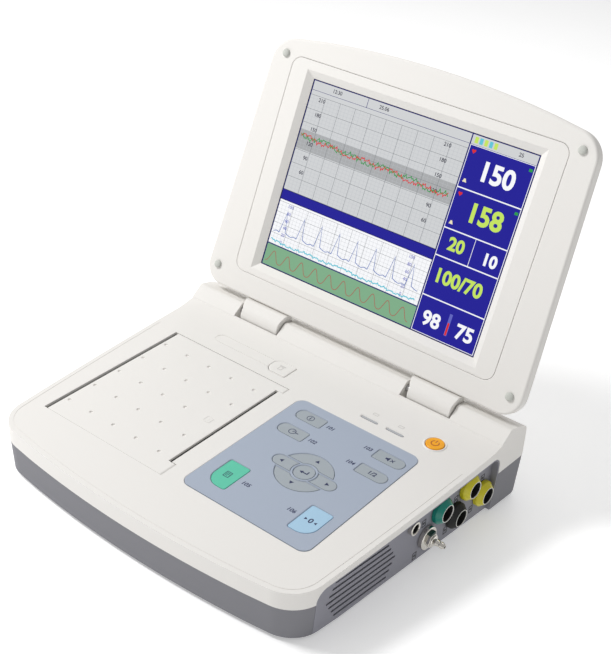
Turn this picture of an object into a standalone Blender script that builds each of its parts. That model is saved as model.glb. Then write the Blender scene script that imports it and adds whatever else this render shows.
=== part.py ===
"""Bedside patient monitor with a flip-up screen, a chart printer and a keypad.

The base is a wedge: its deck slopes down to the front. Most parts are laid out
in deck coordinates (X along the hinge, Y to the back, Z out of the deck, with
Y = 0 above the hinge barrel's rear) and hang on the DECK empty, which leans the
deck forward. The lid hangs on an empty on its hinge axis and leans back.
"""

import math

import bmesh
import bpy
from mathutils import Matrix

# ---------------------------------------------------------------- driving sizes
DECK_SLOPE = math.radians(5.0)      # the deck leans down to the front
LID_LEAN = math.radians(22.4)       # the open lid leans back from the deck's normal
GAP = 0.0003                        # between parts that touch
SLIDE_GAP = 0.00035                 # around parts that move in a hole

CASE_HALF_BACK = 0.1828             # half the case's width at Y = 0
CASE_HALF_FRONT = 0.1678            # half the case's width at the front corners
CASE_SIDE_BULGE = 0.0020            # how far the sides bow out
CASE_FRONT = -0.3085                # the middle of the bowed front
CASE_FRONT_BOW = 0.0140             # how much the front corners stand back
CASE_CORNER = 0.032                 # radius of the case's corners, seen from above
CASE_WALL = 0.0028
CASE_EDGE = 0.0030                  # rounding round the deck's edge
CASE_FRONT_HEIGHT = 0.0460          # from the deck down to the underside, at the front
CASE_BACK = 0.0170                  # how far the back bulges behind Y = 0
CASE_DRAFT = 0.060                  # the lower case leans in by this share of its height
SEAM_FRONT = -0.0160                # the split between the cases, at the front
SEAM_SLOPE = 0.043

HINGE_Y = -0.0218                   # the lid's hinge axis
HINGE_Z = 0.00515
BARREL_RADIUS = 0.0096              # the lid's knuckles
FAIRING_TOP = 0.0126                # the raised ridge that covers the hinge
FAIRING_FRONT = -0.0345
NOTCH_RADIUS = 0.0130
NOTCH_INNER = 0.0722                # the two notches in the ridge, from the middle
NOTCH_OUTER = 0.1267
KNUCKLE_MARGIN = 0.0062             # a knuckle is this much narrower at its barrel
KNUCKLE_BACK = 0.0082
SHAFT_RADIUS = 0.0030
SHAFT_REACH = 0.0120                # how far a shaft runs past its notch
SHAFT_CLEARANCE = 0.0004

LID_HALF_BOTTOM = 0.1826
LID_HALF_TOP = 0.1745
LID_BOTTOM = 0.01415                # from the hinge axis up to the lid's lower edge
LID_TOP = 0.2779
LID_TOP_BOW = 0.0150                # how much the top corners stand below the middle
LID_CORNER_TOP = 0.026
LID_CORNER_BOTTOM = 0.020
LID_CORNER_LEAST = 0.010
LID_FACE = -0.00215                 # the lid's face, in front of the hinge axis
LID_FRONT_DEPTH = 0.0085
LID_WALL = 0.0025
LID_STEP = 0.0006                   # the back shell stands in from the front shell by this
LID_BACK = (                        # the domed back: (how far it draws in, how deep) from its rim
    (0.0000, 0.0030), (0.0045, 0.0110), (0.0150, 0.0180), (0.0310, 0.0222), (0.0480, 0.0240),
)
BEZEL_HALF = 0.1488                 # the inner frame round the screen
BEZEL_BOTTOM = -0.0135              # in screen coordinates: from the screen's lower edge
BEZEL_TOP = 0.2005
BEZEL_CORNER = 0.010
SCREEN_WIDTH = 0.24576              # a 12.1 inch screen, 4 by 3
SCREEN_HEIGHT = 0.18432
SCREEN_FOOT = 0.05045               # from the hinge axis up to the screen's lower edge
SCREEN_SINK = 0.0050                # the screen lies this far behind the lid's face
BEVEL_SIDE = 0.0073                 # width of the sloping rim at the screen's sides
PANEL_MARGIN = 0.0090
PANEL_DEPTH = 0.0070
BOARD_HALF = 0.0600                 # the board behind the screen
BOARD_SPAN = (0.1000, 0.1900)
BOARD_STANDOFF = 0.0030
BUMPER_RADIUS = 0.0040
BUMPER_HEIGHT = 0.0027

DOOR_LEFT = -0.1480                 # the printer's door, in deck coordinates
DOOR_RIGHT = -0.0180
DOOR_FRONT = -0.2560
DOOR_BACK = -0.0912
DOOR_THICKNESS = 0.0026
DOOR_SLOT = 0.0035                  # open slots along the door's left and right edges
DOOR_SEAM = 0.0005
TAB_END = -0.0095
TAB_WIDTH_FRONT = 0.0175
TAB_WIDTH_BACK = 0.0085
DOOR_PIVOT_RADIUS = 0.0024
DOOR_PIN_RADIUS = 0.0012
DOOR_PIN_REACH = 0.0024
TRAY_DEPTH = 0.0330
TRAY_WALL = 0.0018
ROLLER_RADIUS = 0.0050
ROLLER_X = -0.1400
ROLLER_MARGIN = 0.0020
JOURNAL_RADIUS = 0.0020
GEAR_TEETH = 24
PINION_TEETH = 12
GEAR_MODULE = 0.0006
GEAR_ADDENDUM = 0.85                # a tooth's height above the pitch circle, in modules
GEAR_WIDTH = 0.0050
GEAR_CLEARANCE = 0.0001             # least space from the roller's gear up to the case
GEAR_STANDOFF = 0.0015              # from the tray to the gears and from them to the motor
MESH_ANGLE = math.radians(-45.0)    # the direction from the roller's gear to the pinion
MOTOR_RADIUS = 0.0100
MOTOR_LENGTH = 0.0220
MOTOR_SHAFT_RADIUS = 0.0010
HEAD_WIDTH = 0.0100
HEAD_THICKNESS = 0.0022
HEAD_MARGIN = 0.0060                # the print head stops this far short of the door's ends

PANEL_LEFT = 0.0076                 # the keypad
PANEL_RIGHT = 0.1388
PANEL_FRONT = -0.2512
PANEL_BACK = -0.0945
PANEL_CORNER = 0.0085
PANEL_THICKNESS = 0.0016
PANEL_PROUD = 0.0003
PANEL_LEDGE = 0.0050
KEY_TOP = 0.0001
KEY_DEPTH = 0.0045
KEY_TRAVEL = 0.0010
BOARD_THICKNESS = 0.0016
NAV_X = 0.0759                      # the middle of the navigation keys
NAV_Y = -0.1747
NAV_RADIUS = 0.0250
NAV_ARM_HALF = 0.0325               # from the middle to the end of a side key
NAV_ARM_WIDTH = 0.0132
OK_RADIUS = 0.0092
NAV_RIB = 0.0030                    # the web between neighbouring keys

POWER_X = 0.1353
POWER_Y = -0.0692
POWER_RADIUS = 0.0083
POWER_TOP = 0.0012
BUTTON_DEPTH = 0.0060
BUTTON_TOP = 0.0003
RELEASE_LEFT = -0.0485
RELEASE_RIGHT = -0.0255
RELEASE_FRONT = -0.0790
RELEASE_BACK = -0.0600
LAMP_Y = -0.0783
LAMP_WIDTH = 0.0175
LAMP_DEPTH = 0.0024
LAMP_CENTRES = (0.0720, 0.0995)
LAMP_LENGTH = 0.0040
LAMP_TOP = 0.0002

PLATE_X = 0.1714                    # the side plate, at PLATE_Y
PLATE_Y = -0.1600
PLATE_TURN = math.radians(-1.5)
PLATE_THICKNESS = 0.0025
PLATE_FRONT = -0.1140               # plate coordinates, from PLATE_Y
PLATE_BACK = 0.1260
PLATE_TOP_FRONT = -0.0060           # the opening's upper edge, in deck heights
PLATE_TOP_BACK = -0.0080
PLATE_CORNER = 0.0110
PLATE_RIM = 0.0016
PLATE_REACH = 0.060                 # cutters for the plate reach out this far
VENT_COUNT = 7
VENT_FIRST = -0.0095                # height of the first vent slot's front end
VENT_PITCH = 0.00565
VENT_WIDTH = 0.0022
VENT_SLOPE = -0.0980
VENT_FRONT = -0.1015                # ends of the middle slot
VENT_BACK = -0.0132
VENT_SKEW = 0.0034                  # each slot away from the middle one is shorter by this
SOCKET_FLANGE = 0.0122
SOCKET_FACE = 0.0083
SOCKET_BORE = 0.0072
SOCKET_PROUD = 0.0085
SOCKET_SHANK = 0.0088
SOCKET_BAND = 0.0038                # height of the flange's straight rim
SOCKET_DEPTH = 0.0120
SOCKET_FLOOR = -0.0090
COUPLING_RADIUS = 0.0108
COUPLING_SHANK = 0.0078
COUPLING_FLANGE = 0.0045
NOZZLE = [                          # the coupling's barbed tip and collar: (radius, height)
    (0.0, 0.0205), (0.0022, 0.0205), (0.0030, 0.0185), (0.0020, 0.0175), (0.0020, 0.0120),
    (0.0048, 0.0110), (0.0048, 0.0050),
]
JACK_RADIUS = 0.0064
JACK_SHANK = 0.0052
JACK_BORE = 0.0038
JACK_PROUD = 0.0042
JACK_DEPTH = 0.0100
JACK_FLOOR = -0.0080
FITTINGS = (                        # name, place in plate coordinates, shank radius
    ("marker_jack", 0.0072, -0.0178, JACK_SHANK),
    ("socket_teal", 0.0466, -0.0234, SOCKET_SHANK),
    ("socket_yellow_upper", 0.0872, -0.0226, SOCKET_SHANK),
    ("pressure_coupling", 0.0287, -0.0413, COUPLING_SHANK),
    ("socket_black", 0.0700, -0.0429, SOCKET_SHANK),
    ("socket_yellow_lower", 0.1110, -0.0433, SOCKET_SHANK),
)

FOOT_RADIUS = 0.0090
FOOT_HEIGHT = 0.0030
FEET = (
    ("foot_front_left", -0.135, -0.250), ("foot_front_right", 0.135, -0.250),
    ("foot_rear_left", -0.160, -0.020), ("foot_rear_right", 0.155, -0.020),
)
MAIN_BOARD_LOW = (0.000, -0.235, -0.030)
MAIN_BOARD_HIGH = (0.140, -0.125)
SUPPLY_LOW = (0.050, -0.085, -0.050)
SUPPLY_HIGH = (0.150, -0.015, -0.026)
PUMP_RADIUS = 0.0120
PUMP_SPAN = (-0.030, 0.025)
PUMP_AXIS = (-0.060, -0.042)        # in Y and Z
SPEAKER_RADIUS = 0.0175
SPEAKER_DEPTH = 0.0117
SPEAKER_Z = -0.0310
BATTERY_SIZE = (0.105, 0.062, 0.020)
HATCH_LEDGE = 0.0040                # the battery's cover is this much smaller all round
BATTERY_X = -0.090
BATTERY_Y = -0.050
INLET_SIZE = (0.0270, 0.0195)
INLET_WALL = 0.0028
INLET_X = 0.105
INLET_Z = -0.042
INLET_SPAN = (-0.008, 0.018)        # front and back ends, in Y
INLET_PIN = (0.0020, 0.0040)
INLET_PINS = ((0.0, 0.0040), (-0.0068, -0.0032), (0.0068, -0.0032))
INLET_PIN_SINK = 0.0050
EARTH_X = 0.060
EARTH_RADIUS = 0.0040
EARTH_SPAN = (0.006, 0.025)

MIDDLE = (-0.0051, 0.1136)          # puts the middle of the whole object over the origin

# ---------------------------------------------------------------- worked out from them
UNDER_SLOPE = math.tan(DECK_SLOPE)
LIFT = (
    FOOT_HEIGHT
    + CASE_FRONT_HEIGHT * math.cos(DECK_SLOPE)
    - CASE_FRONT * math.sin(DECK_SLOPE)
)
DOOR_PIVOT_X = TAB_END - DOOR_PIVOT_RADIUS
DOOR_TOP = -0.0002
DOOR_PIVOT_Z = DOOR_TOP - DOOR_PIVOT_RADIUS
BEZEL_Z = (SCREEN_FOOT + BEZEL_BOTTOM, SCREEN_FOOT + BEZEL_TOP)
GEAR_RADIUS = GEAR_MODULE * GEAR_TEETH / 2
PINION_RADIUS = GEAR_MODULE * PINION_TEETH / 2
HEAD_UNDERSIDE = DOOR_TOP - DOOR_THICKNESS - GAP - HEAD_THICKNESS
ROLLER_Z = min(
    HEAD_UNDERSIDE - GAP - ROLLER_RADIUS,
    -CASE_WALL - GEAR_CLEARANCE - GEAR_RADIUS - GEAR_ADDENDUM * GEAR_MODULE,
)
FAR = 0.4                           # cutters reach this far past everything

COLOURS = {
    "white_plastic": ((0.80, 0.78, 0.75), 0.45, 0.0),
    "grey_plastic": ((0.20, 0.20, 0.22), 0.50, 0.0),
    "panel_grey": ((0.26, 0.26, 0.30), 0.45, 0.0),
    "keypad_blue": ((0.38, 0.43, 0.52), 0.40, 0.2),
    "key_grey": ((0.36, 0.40, 0.43), 0.45, 0.0),
    "key_green": ((0.11, 0.55, 0.38), 0.40, 0.0),
    "key_blue": ((0.38, 0.58, 0.75), 0.40, 0.0),
    "power_amber": ((0.95, 0.42, 0.01), 0.35, 0.0),
    "teal_plastic": ((0.00, 0.22, 0.17), 0.40, 0.0),
    "yellow_plastic": ((0.67, 0.60, 0.02), 0.40, 0.0),
    "black_plastic": ((0.01, 0.01, 0.012), 0.40, 0.0),
    "nickel": ((0.70, 0.67, 0.62), 0.25, 1.0),
    "steel": ((0.55, 0.55, 0.56), 0.30, 1.0),
    "black_rubber": ((0.02, 0.02, 0.02), 0.80, 0.0),
    "light_rubber": ((0.55, 0.56, 0.52), 0.60, 0.0),
    "circuit_board": ((0.02, 0.18, 0.08), 0.50, 0.0),
    "screen_glass": ((0.02, 0.02, 0.03), 0.15, 0.0),
    "lamp_grey": ((0.45, 0.46, 0.48), 0.30, 0.0),
    "brass": ((0.65, 0.45, 0.15), 0.30, 1.0),
    "aluminium": ((0.75, 0.75, 0.76), 0.35, 1.0),
}


# ---------------------------------------------------------------- scene and helpers
def clear_scene():
    for obj in list(bpy.data.objects):
        bpy.data.objects.remove(obj)


def new_collection(name):
    collection = bpy.data.collections.new(name)
    bpy.context.scene.collection.children.link(collection)
    return collection


def material(name):
    found = bpy.data.materials.get(name)
    if found:
        return found
    colour, roughness, metallic = COLOURS[name]
    made = bpy.data.materials.new(name)
    made.use_nodes = True
    shader = made.node_tree.nodes["Principled BSDF"]
    shader.inputs["Base Color"].default_value = (*colour, 1.0)
    shader.inputs["Roughness"].default_value = roughness
    shader.inputs["Metallic"].default_value = metallic
    return made


def empty(name, parent=None, location=(0, 0, 0), rotation=(0, 0, 0)):
    obj = bpy.data.objects.new(name, None)
    PARTS.objects.link(obj)
    obj.parent = parent
    obj.location = location
    obj.rotation_euler = rotation
    return obj


def place(name, mesh, finish, parent, location=(0, 0, 0), rotation=(0, 0, 0)):
    """Make a part from a mesh, in a frame, with its own material."""
    obj = bpy.data.objects.new(name, mesh)
    PARTS.objects.link(obj)
    mesh.materials.clear()
    mesh.materials.append(material(finish))
    obj.parent = parent
    obj.location = location
    obj.rotation_euler = rotation
    return obj


def as_cutter(name, mesh, parent, location=(0, 0, 0), rotation=(0, 0, 0)):
    obj = bpy.data.objects.new(name, mesh)
    CUTTERS.objects.link(obj)
    obj.parent = parent
    obj.location = location
    obj.rotation_euler = rotation
    obj.hide_render = True
    obj.display_type = "WIRE"
    return obj


def combine(obj, tool, operation):
    modifier = obj.modifiers.new(operation.lower(), "BOOLEAN")
    modifier.operation = operation
    modifier.object = tool
    modifier.solver = "EXACT"


def cut(obj, mesh, parent, location=(0, 0, 0), rotation=(0, 0, 0)):
    tool = as_cutter(f"{obj.name}_cut", mesh, parent, location, rotation)
    combine(obj, tool, "DIFFERENCE")


def join(obj, mesh, parent, location=(0, 0, 0), rotation=(0, 0, 0)):
    tool = as_cutter(f"{obj.name}_join", mesh, parent, location, rotation)
    combine(obj, tool, "UNION")


def finish_mesh(bm, name, smooth=False):
    mesh = bpy.data.meshes.new(name)
    bm.to_mesh(mesh)
    bm.free()
    if smooth:
        mesh.shade_smooth()
        mesh.set_sharp_from_angle(angle=math.radians(35))
    return mesh


def box(low, high):
    """A box between two corners."""
    bm = bmesh.new()
    bmesh.ops.create_cube(bm, size=1.0)
    size = [b - a for a, b in zip(low, high)]
    middle = [(a + b) / 2 for a, b in zip(low, high)]
    bmesh.ops.transform(bm, matrix=Matrix.Diagonal((*size, 1.0)), verts=bm.verts)
    bmesh.ops.translate(bm, vec=middle, verts=bm.verts)
    return finish_mesh(bm, "box")


AXES = {
    "X": Matrix.Rotation(math.radians(90), 4, "Y"),
    "Y": Matrix.Rotation(math.radians(-90), 4, "X"),
    "Z": Matrix.Identity(4),
}


def rod(radius, start, end, axis="Z", sides=24, centre=(0, 0)):
    """A cylinder along an axis from start to end, centred on the other two coordinates."""
    bm = bmesh.new()
    bmesh.ops.create_cone(
        bm, cap_ends=True, segments=sides, radius1=radius, radius2=radius, depth=abs(end - start)
    )
    bmesh.ops.transform(bm, matrix=AXES[axis], verts=bm.verts)
    middle = (start + end) / 2
    offset = {
        "X": (middle, *centre),
        "Y": (centre[0], middle, centre[1]),
        "Z": (*centre, middle),
    }[axis]
    bmesh.ops.translate(bm, vec=offset, verts=bm.verts)
    return finish_mesh(bm, "rod", smooth=True)


def arc(centre, radius, start, end, steps):
    """Points along an arc, angles in degrees."""
    points = []
    for i in range(steps + 1):
        angle = math.radians(start + (end - start) * i / steps)
        points.append((centre[0] + radius * math.cos(angle), centre[1] + radius * math.sin(angle)))
    return points


def rounded(points, radii, steps=5):
    """A closed outline with its corners rounded; a radius of 0 keeps a corner."""
    result = []
    count = len(points)
    for i, (x, y) in enumerate(points):
        radius = radii[i] if isinstance(radii, (list, tuple)) else radii
        if radius <= 0:
            result.append((x, y))
            continue
        (ax, ay), (bx, by) = points[i - 1], points[(i + 1) % count]
        la, lb = math.hypot(ax - x, ay - y), math.hypot(bx - x, by - y)
        ua, ub = ((ax - x) / la, (ay - y) / la), ((bx - x) / lb, (by - y) / lb)
        half = math.acos(max(-1.0, min(1.0, ua[0] * ub[0] + ua[1] * ub[1]))) / 2
        reach = radius / math.tan(half)
        middle = (ua[0] + ub[0], ua[1] + ub[1])
        size = math.hypot(*middle)
        depth = radius / math.sin(half)
        cx, cy = x + middle[0] / size * depth, y + middle[1] / size * depth
        start = math.atan2(y + ua[1] * reach - cy, x + ua[0] * reach - cx)
        turn = math.atan2(y + ub[1] * reach - cy, x + ub[0] * reach - cx) - start
        turn = (turn + math.pi) % (2 * math.pi) - math.pi
        for k in range(steps + 1):
            angle = start + turn * k / steps
            result.append((cx + radius * math.cos(angle), cy + radius * math.sin(angle)))
    return result


def rectangle(left, right, low, high):
    return [(left, low), (right, low), (right, high), (left, high)]


def inset(points, distance):
    """A counter-clockwise outline moved inwards; a negative distance moves it out."""
    result = []
    count = len(points)
    for i, (x, y) in enumerate(points):
        (ax, ay), (bx, by) = points[i - 1], points[(i + 1) % count]
        la, lb = math.hypot(x - ax, y - ay), math.hypot(bx - x, by - y)
        na, nb = (-(y - ay) / la, (x - ax) / la), (-(by - y) / lb, (bx - x) / lb)
        scale = distance / (1 + na[0] * nb[0] + na[1] * nb[1])
        result.append((x + (na[0] + nb[0]) * scale, y + (na[1] + nb[1]) * scale))
    return result


PLANES = {
    "XY": Matrix.Identity(4),
    "XZ": Matrix(((1, 0, 0, 0), (0, 0, -1, 0), (0, 1, 0, 0), (0, 0, 0, 1))),
    "YZ": Matrix(((0, 0, 1, 0), (1, 0, 0, 0), (0, 1, 0, 0), (0, 0, 0, 1))),
}


def slab(outlines, low, high, plane="XY"):
    """A flat outline, with any holes after it, given thickness from low to high.

    The thickness runs along +Z for the plane XY, -Y for XZ and +X for YZ.
    """
    curve = bpy.data.curves.new("outline", "CURVE")
    curve.dimensions = "2D"
    curve.fill_mode = "BOTH"
    curve.extrude = (high - low) / 2
    for outline in outlines:
        spline = curve.splines.new("POLY")
        spline.points.add(len(outline) - 1)
        for point, (x, y) in zip(spline.points, outline):
            point.co = (x, y, 0, 1)
        spline.use_cyclic_u = True
    holder = bpy.data.objects.new("outline", curve)
    bpy.context.scene.collection.objects.link(holder)
    bpy.context.view_layer.update()
    evaluated = holder.evaluated_get(bpy.context.evaluated_depsgraph_get())
    mesh = bpy.data.meshes.new_from_object(evaluated)
    bpy.data.objects.remove(holder)
    bpy.data.curves.remove(curve)
    bm = bmesh.new()
    bm.from_mesh(mesh)
    bpy.data.meshes.remove(mesh)
    bmesh.ops.remove_doubles(bm, verts=bm.verts, dist=1e-6)
    bmesh.ops.translate(bm, vec=(0, 0, (low + high) / 2), verts=bm.verts)
    bmesh.ops.transform(bm, matrix=PLANES[plane], verts=bm.verts)
    bmesh.ops.recalc_face_normals(bm, faces=bm.faces)
    return finish_mesh(bm, "slab")


def loft(rings):
    """A closed body through rings of points, capped at both ends."""
    bm = bmesh.new()
    loops = [[bm.verts.new(point) for point in ring] for ring in rings]
    for lower, upper in zip(loops, loops[1:]):
        for i in range(len(lower)):
            bm.faces.new((lower[i - 1], lower[i], upper[i], upper[i - 1]))
    bm.faces.new(loops[0])
    bm.faces.new(loops[-1])
    bmesh.ops.recalc_face_normals(bm, faces=bm.faces)
    return finish_mesh(bm, "loft")


def turned(name, profile, finish, parent, location, axis="X", steps=24):
    """A turned part: (radius, height) points round its section, down the outer side first."""
    bm = bmesh.new()
    verts = [bm.verts.new((radius, 0, height)) for radius, height in profile]
    for a, b in zip(verts, verts[1:] + verts[:1]):
        if a.co.x > 0 or b.co.x > 0:
            bm.edges.new((a, b))
    obj = place(name, finish_mesh(bm, name), finish, parent, location)
    if axis == "X":
        obj.rotation_euler = (0, math.radians(90), 0)
    screw = obj.modifiers.new("turn", "SCREW")
    screw.steps = steps
    screw.render_steps = steps
    screw.use_merge_vertices = True
    screw.merge_threshold = 0.00001
    screw.use_smooth_shade = True
    return obj


def soften(obj, width, segments=2, angle=40):
    modifier = obj.modifiers.new("soften", "BEVEL")
    modifier.width = width
    modifier.segments = segments
    modifier.limit_method = "ANGLE"
    modifier.angle_limit = math.radians(angle)


# ---------------------------------------------------------------- the two cases
def under(y):
    """The underside's height at y, in deck coordinates."""
    return -CASE_FRONT_HEIGHT - UNDER_SLOPE * (y - CASE_FRONT)


def seam(y):
    return SEAM_FRONT - SEAM_SLOPE * (y - CASE_FRONT)


def case_outline(distance=0.0):
    """The case from above, counter-clockwise, moved in by a distance."""
    corner_y = CASE_FRONT + CASE_FRONT_BOW
    stations = (1.0, 0.62, 0.3)
    right = []
    for share in stations:
        straight = CASE_HALF_BACK + (CASE_HALF_FRONT - CASE_HALF_BACK) * share
        right.append((straight + 4 * CASE_SIDE_BULGE * share * (1 - share), corner_y * share))
    right.append((CASE_HALF_BACK, CASE_BACK))
    front = []
    for share in (-0.62, -0.32, 0.0, 0.32, 0.62):
        front.append((CASE_HALF_FRONT * share, CASE_FRONT + CASE_FRONT_BOW * share * share))
    left = [(-x, y) for x, y in reversed(right)]
    outline = front + right + left
    radii = [0] * len(front) + [CASE_CORNER, 0, 0, 0.015, 0.015, 0, 0, CASE_CORNER]
    return inset(rounded(outline, radii, 6), distance)


def case_profile(distance=0.0):
    """The case from its side, as (Y, Z), moved in by a distance."""
    ridge = (HINGE_Y + 0.0005, FAIRING_TOP - 0.0060)
    top = [(FAIRING_FRONT - 0.018, 0.0)]
    top += [(FAIRING_FRONT - 0.010, 0.0008), (FAIRING_FRONT - 0.004, 0.0019)]
    top += [(FAIRING_FRONT - 0.0016, 0.0025), (FAIRING_FRONT, 0.0044)]
    top += arc(ridge, 0.0060, 138, 62, 4)
    top += [(-0.0090, 0.0095), (0.0, 0.0050), (0.0055, 0.0010)]
    back = [(0.0098, -0.0120), (0.0138, -0.0280), (0.0165, -0.0400), (CASE_BACK, -0.0490)]
    back += [(CASE_BACK - 0.0020, under(CASE_BACK) + 0.0130)]
    back += [(CASE_BACK - 0.0070, under(CASE_BACK) + 0.0045)]
    back += [(0.0020, under(0.0020))]
    line = [(-FAR, under(-FAR)), (-FAR, 0.0)] + top + back
    line.reverse()
    return inset(line, distance)


def case_blank(name, distance, finish=None):
    """The solid outside of both cases, or with a finish of None the cutter for their inside."""
    outline = case_outline(distance)
    lower = inset(outline, CASE_DRAFT * 0.07)
    rings = [
        [(x, y, seam(y) - 0.07) for x, y in lower],
        [(x, y, seam(y)) for x, y in outline],
        [(x, y, 0.03) for x, y in outline],
    ]
    profile = as_cutter(f"{name}_profile", slab([case_profile(distance)], -FAR, FAR, "YZ"), DECK)
    if finish:
        obj = place(name, loft(rings), finish, DECK)
    else:
        obj = as_cutter(name, loft(rings), DECK)
    combine(obj, profile, "INTERSECT")
    return obj


def plate_outline(distance=0.0):
    """The side plate in plate coordinates, as (Y, Z)."""
    points = [
        (PLATE_FRONT + distance, -0.10),
        (PLATE_BACK - distance, -0.10),
        (PLATE_BACK - distance, PLATE_TOP_BACK - distance),
        (PLATE_FRONT + distance, PLATE_TOP_FRONT - distance),
    ]
    return rounded(points, [0, 0, PLATE_CORNER - distance, PLATE_CORNER - distance], 5)


def notch_cutters(obj, radius, margin):
    """The two pockets that the lid's knuckles turn in."""
    for side in (-1, 1):
        low, high = sorted((side * (NOTCH_INNER - margin), side * (NOTCH_OUTER + margin)))
        cut(obj, rod(radius, low, high, "X", 24, (HINGE_Y, HINGE_Z)), DECK)


def build_cases():
    top = case_blank("top_case", 0.0, "white_plastic")
    soften(top, CASE_EDGE, 2, 50)
    hollow = case_blank("case_hollow", CASE_WALL)
    notch_cutters(hollow, NOTCH_RADIUS + CASE_WALL, CASE_WALL)
    recess = as_cutter(
        "plate_recess", slab([plate_outline()], -PLATE_THICKNESS - GAP, PLATE_REACH, "YZ"), PLATE
    )
    combine(top, hollow, "DIFFERENCE")
    combine(top, recess, "DIFFERENCE")
    seam_turn = (-math.atan(SEAM_SLOPE), 0, 0)
    below = box((-FAR, -FAR, -FAR), (FAR, FAR, GAP / 2))
    cut(top, below, DECK, (0, CASE_FRONT, SEAM_FRONT), seam_turn)
    notch_cutters(top, NOTCH_RADIUS, 0.0)
    for side in (-1, 1):
        low, high = sorted((side * NOTCH_INNER, side * NOTCH_OUTER))
        cut(top, box((low, HINGE_Y, 0.0008), (high, 0.02, 0.04)), DECK)
    for low, high in shaft_spans():
        bore = SHAFT_RADIUS + SHAFT_CLEARANCE
        cut(top, rod(bore, low - 0.004, high + 0.004, "X", 16, (HINGE_Y, HINGE_Z)), DECK)
    cut_deck(top)

    bottom = case_blank("bottom_case", 0.0, "grey_plastic")
    soften(bottom, 0.0020, 1, 50)
    combine(bottom, hollow, "DIFFERENCE")
    combine(bottom, recess, "DIFFERENCE")
    above = box((-FAR, -FAR, -GAP / 2), (FAR, FAR, FAR))
    cut(bottom, above, DECK, (0, CASE_FRONT, SEAM_FRONT), seam_turn)
    cut_back(bottom)


def cut_deck(top):
    """The openings in the deck: printer, keypad, buttons and lamps."""
    low, high = -0.02, 0.02
    outline = door_outline(-DOOR_SEAM, -SLIDE_GAP)
    bay = rectangle(
        DOOR_LEFT - DOOR_SLOT, DOOR_RIGHT + DOOR_SLOT,
        DOOR_FRONT + TAB_WIDTH_FRONT, DOOR_BACK - TAB_WIDTH_BACK,
    )
    cut(top, slab([outline], low, high), DECK)
    cut(top, slab([bay], low, high), DECK)
    left = rectangle(
        DOOR_LEFT - DOOR_SLOT, DOOR_LEFT + 0.002, DOOR_FRONT - DOOR_SEAM, DOOR_BACK + DOOR_SEAM
    )
    cut(top, slab([left], low, high), DECK)
    pin = DOOR_PIN_RADIUS + SLIDE_GAP
    start, end = DOOR_FRONT - DOOR_PIN_REACH - GAP, DOOR_BACK + DOOR_PIN_REACH + GAP
    cut(top, rod(pin, start, end, "Y", 12, (DOOR_PIVOT_X, DOOR_PIVOT_Z)), DECK)
    cut(top, slab([panel_outline(-GAP)], -PANEL_THICKNESS + PANEL_PROUD - GAP, high), DECK)
    cut(top, slab([panel_outline(PANEL_LEDGE)], low, high), DECK)
    power = rod(POWER_RADIUS + SLIDE_GAP, low, high, "Z", 32, (POWER_X, POWER_Y))
    cut(top, power, DECK)
    cut(top, slab([release_outline(-SLIDE_GAP)], low, high), DECK)
    for x in LAMP_CENTRES:
        cut(top, slab([lamp_outline(x, -GAP)], low, high), DECK)


def cut_back(bottom):
    """The openings in the back and the underside."""
    cut(bottom, slab([inlet_outline(-GAP)], -0.06, 0.03, "XZ"), DECK)
    cut(bottom, rod(EARTH_RADIUS + GAP, -0.02, 0.05, "Y", 16, (EARTH_X, INLET_Z)), DECK)
    x, y = BATTERY_SIZE[0] / 2 - HATCH_LEDGE, BATTERY_SIZE[1] / 2 - HATCH_LEDGE
    hatch = box((BATTERY_X - x, BATTERY_Y - y, -0.01), (BATTERY_X + x, BATTERY_Y + y, 0.01))
    cut(bottom, hatch, GROUND, (0, 0, FOOT_HEIGHT))


# ---------------------------------------------------------------- hinge
def shaft_spans():
    spans = []
    for side in (-1, 1):
        spans.append(sorted((side * (NOTCH_INNER - SHAFT_REACH), side * (NOTCH_OUTER + SHAFT_REACH))))
    return spans


def build_hinge():
    """A knuckle is a barrel on the shaft and an arm up to the lid's lower edge."""
    shaft_names = ("hinge_shaft_left", "hinge_shaft_right")
    for name, (low, high) in zip(shaft_names, shaft_spans()):
        place(name, rod(SHAFT_RADIUS, low, high, "X", 16), "steel", DECK, (0, HINGE_Y, HINGE_Z))
    arm_top = LID_BOTTOM - GAP
    profile = arc((0, 0), BARREL_RADIUS, 150, 330, 12)
    profile += [(KNUCKLE_BACK, arm_top), (LID_FACE + 0.0046, arm_top)]
    profile += arc((-0.0010, arm_top - 0.00685), 0.0058, 88, 150, 5)
    for name, side in (("knuckle_left", -1), ("knuckle_right", 1)):
        low, high = sorted((side * (NOTCH_INNER + 0.0010), side * (NOTCH_OUTER - 0.0008)))
        knuckle = place(name, slab([profile], low, high, "YZ"), "white_plastic", LID)
        shoulder = SHAFT_RADIUS + 0.0015
        outer = [
            (low + KNUCKLE_MARGIN, -0.02), (high - KNUCKLE_MARGIN, -0.02),
            (high - KNUCKLE_MARGIN, shoulder), (high, arm_top + 0.0005),
            (low, arm_top + 0.0005), (low + KNUCKLE_MARGIN, shoulder),
        ]
        taper = as_cutter(f"{name}_taper", slab([outer], -0.03, 0.03, "XZ"), LID)
        combine(knuckle, taper, "INTERSECT")
        bore = SHAFT_RADIUS + SHAFT_CLEARANCE
        cut(knuckle, rod(bore, low - 0.01, high + 0.01, "X", 16), LID)


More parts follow.
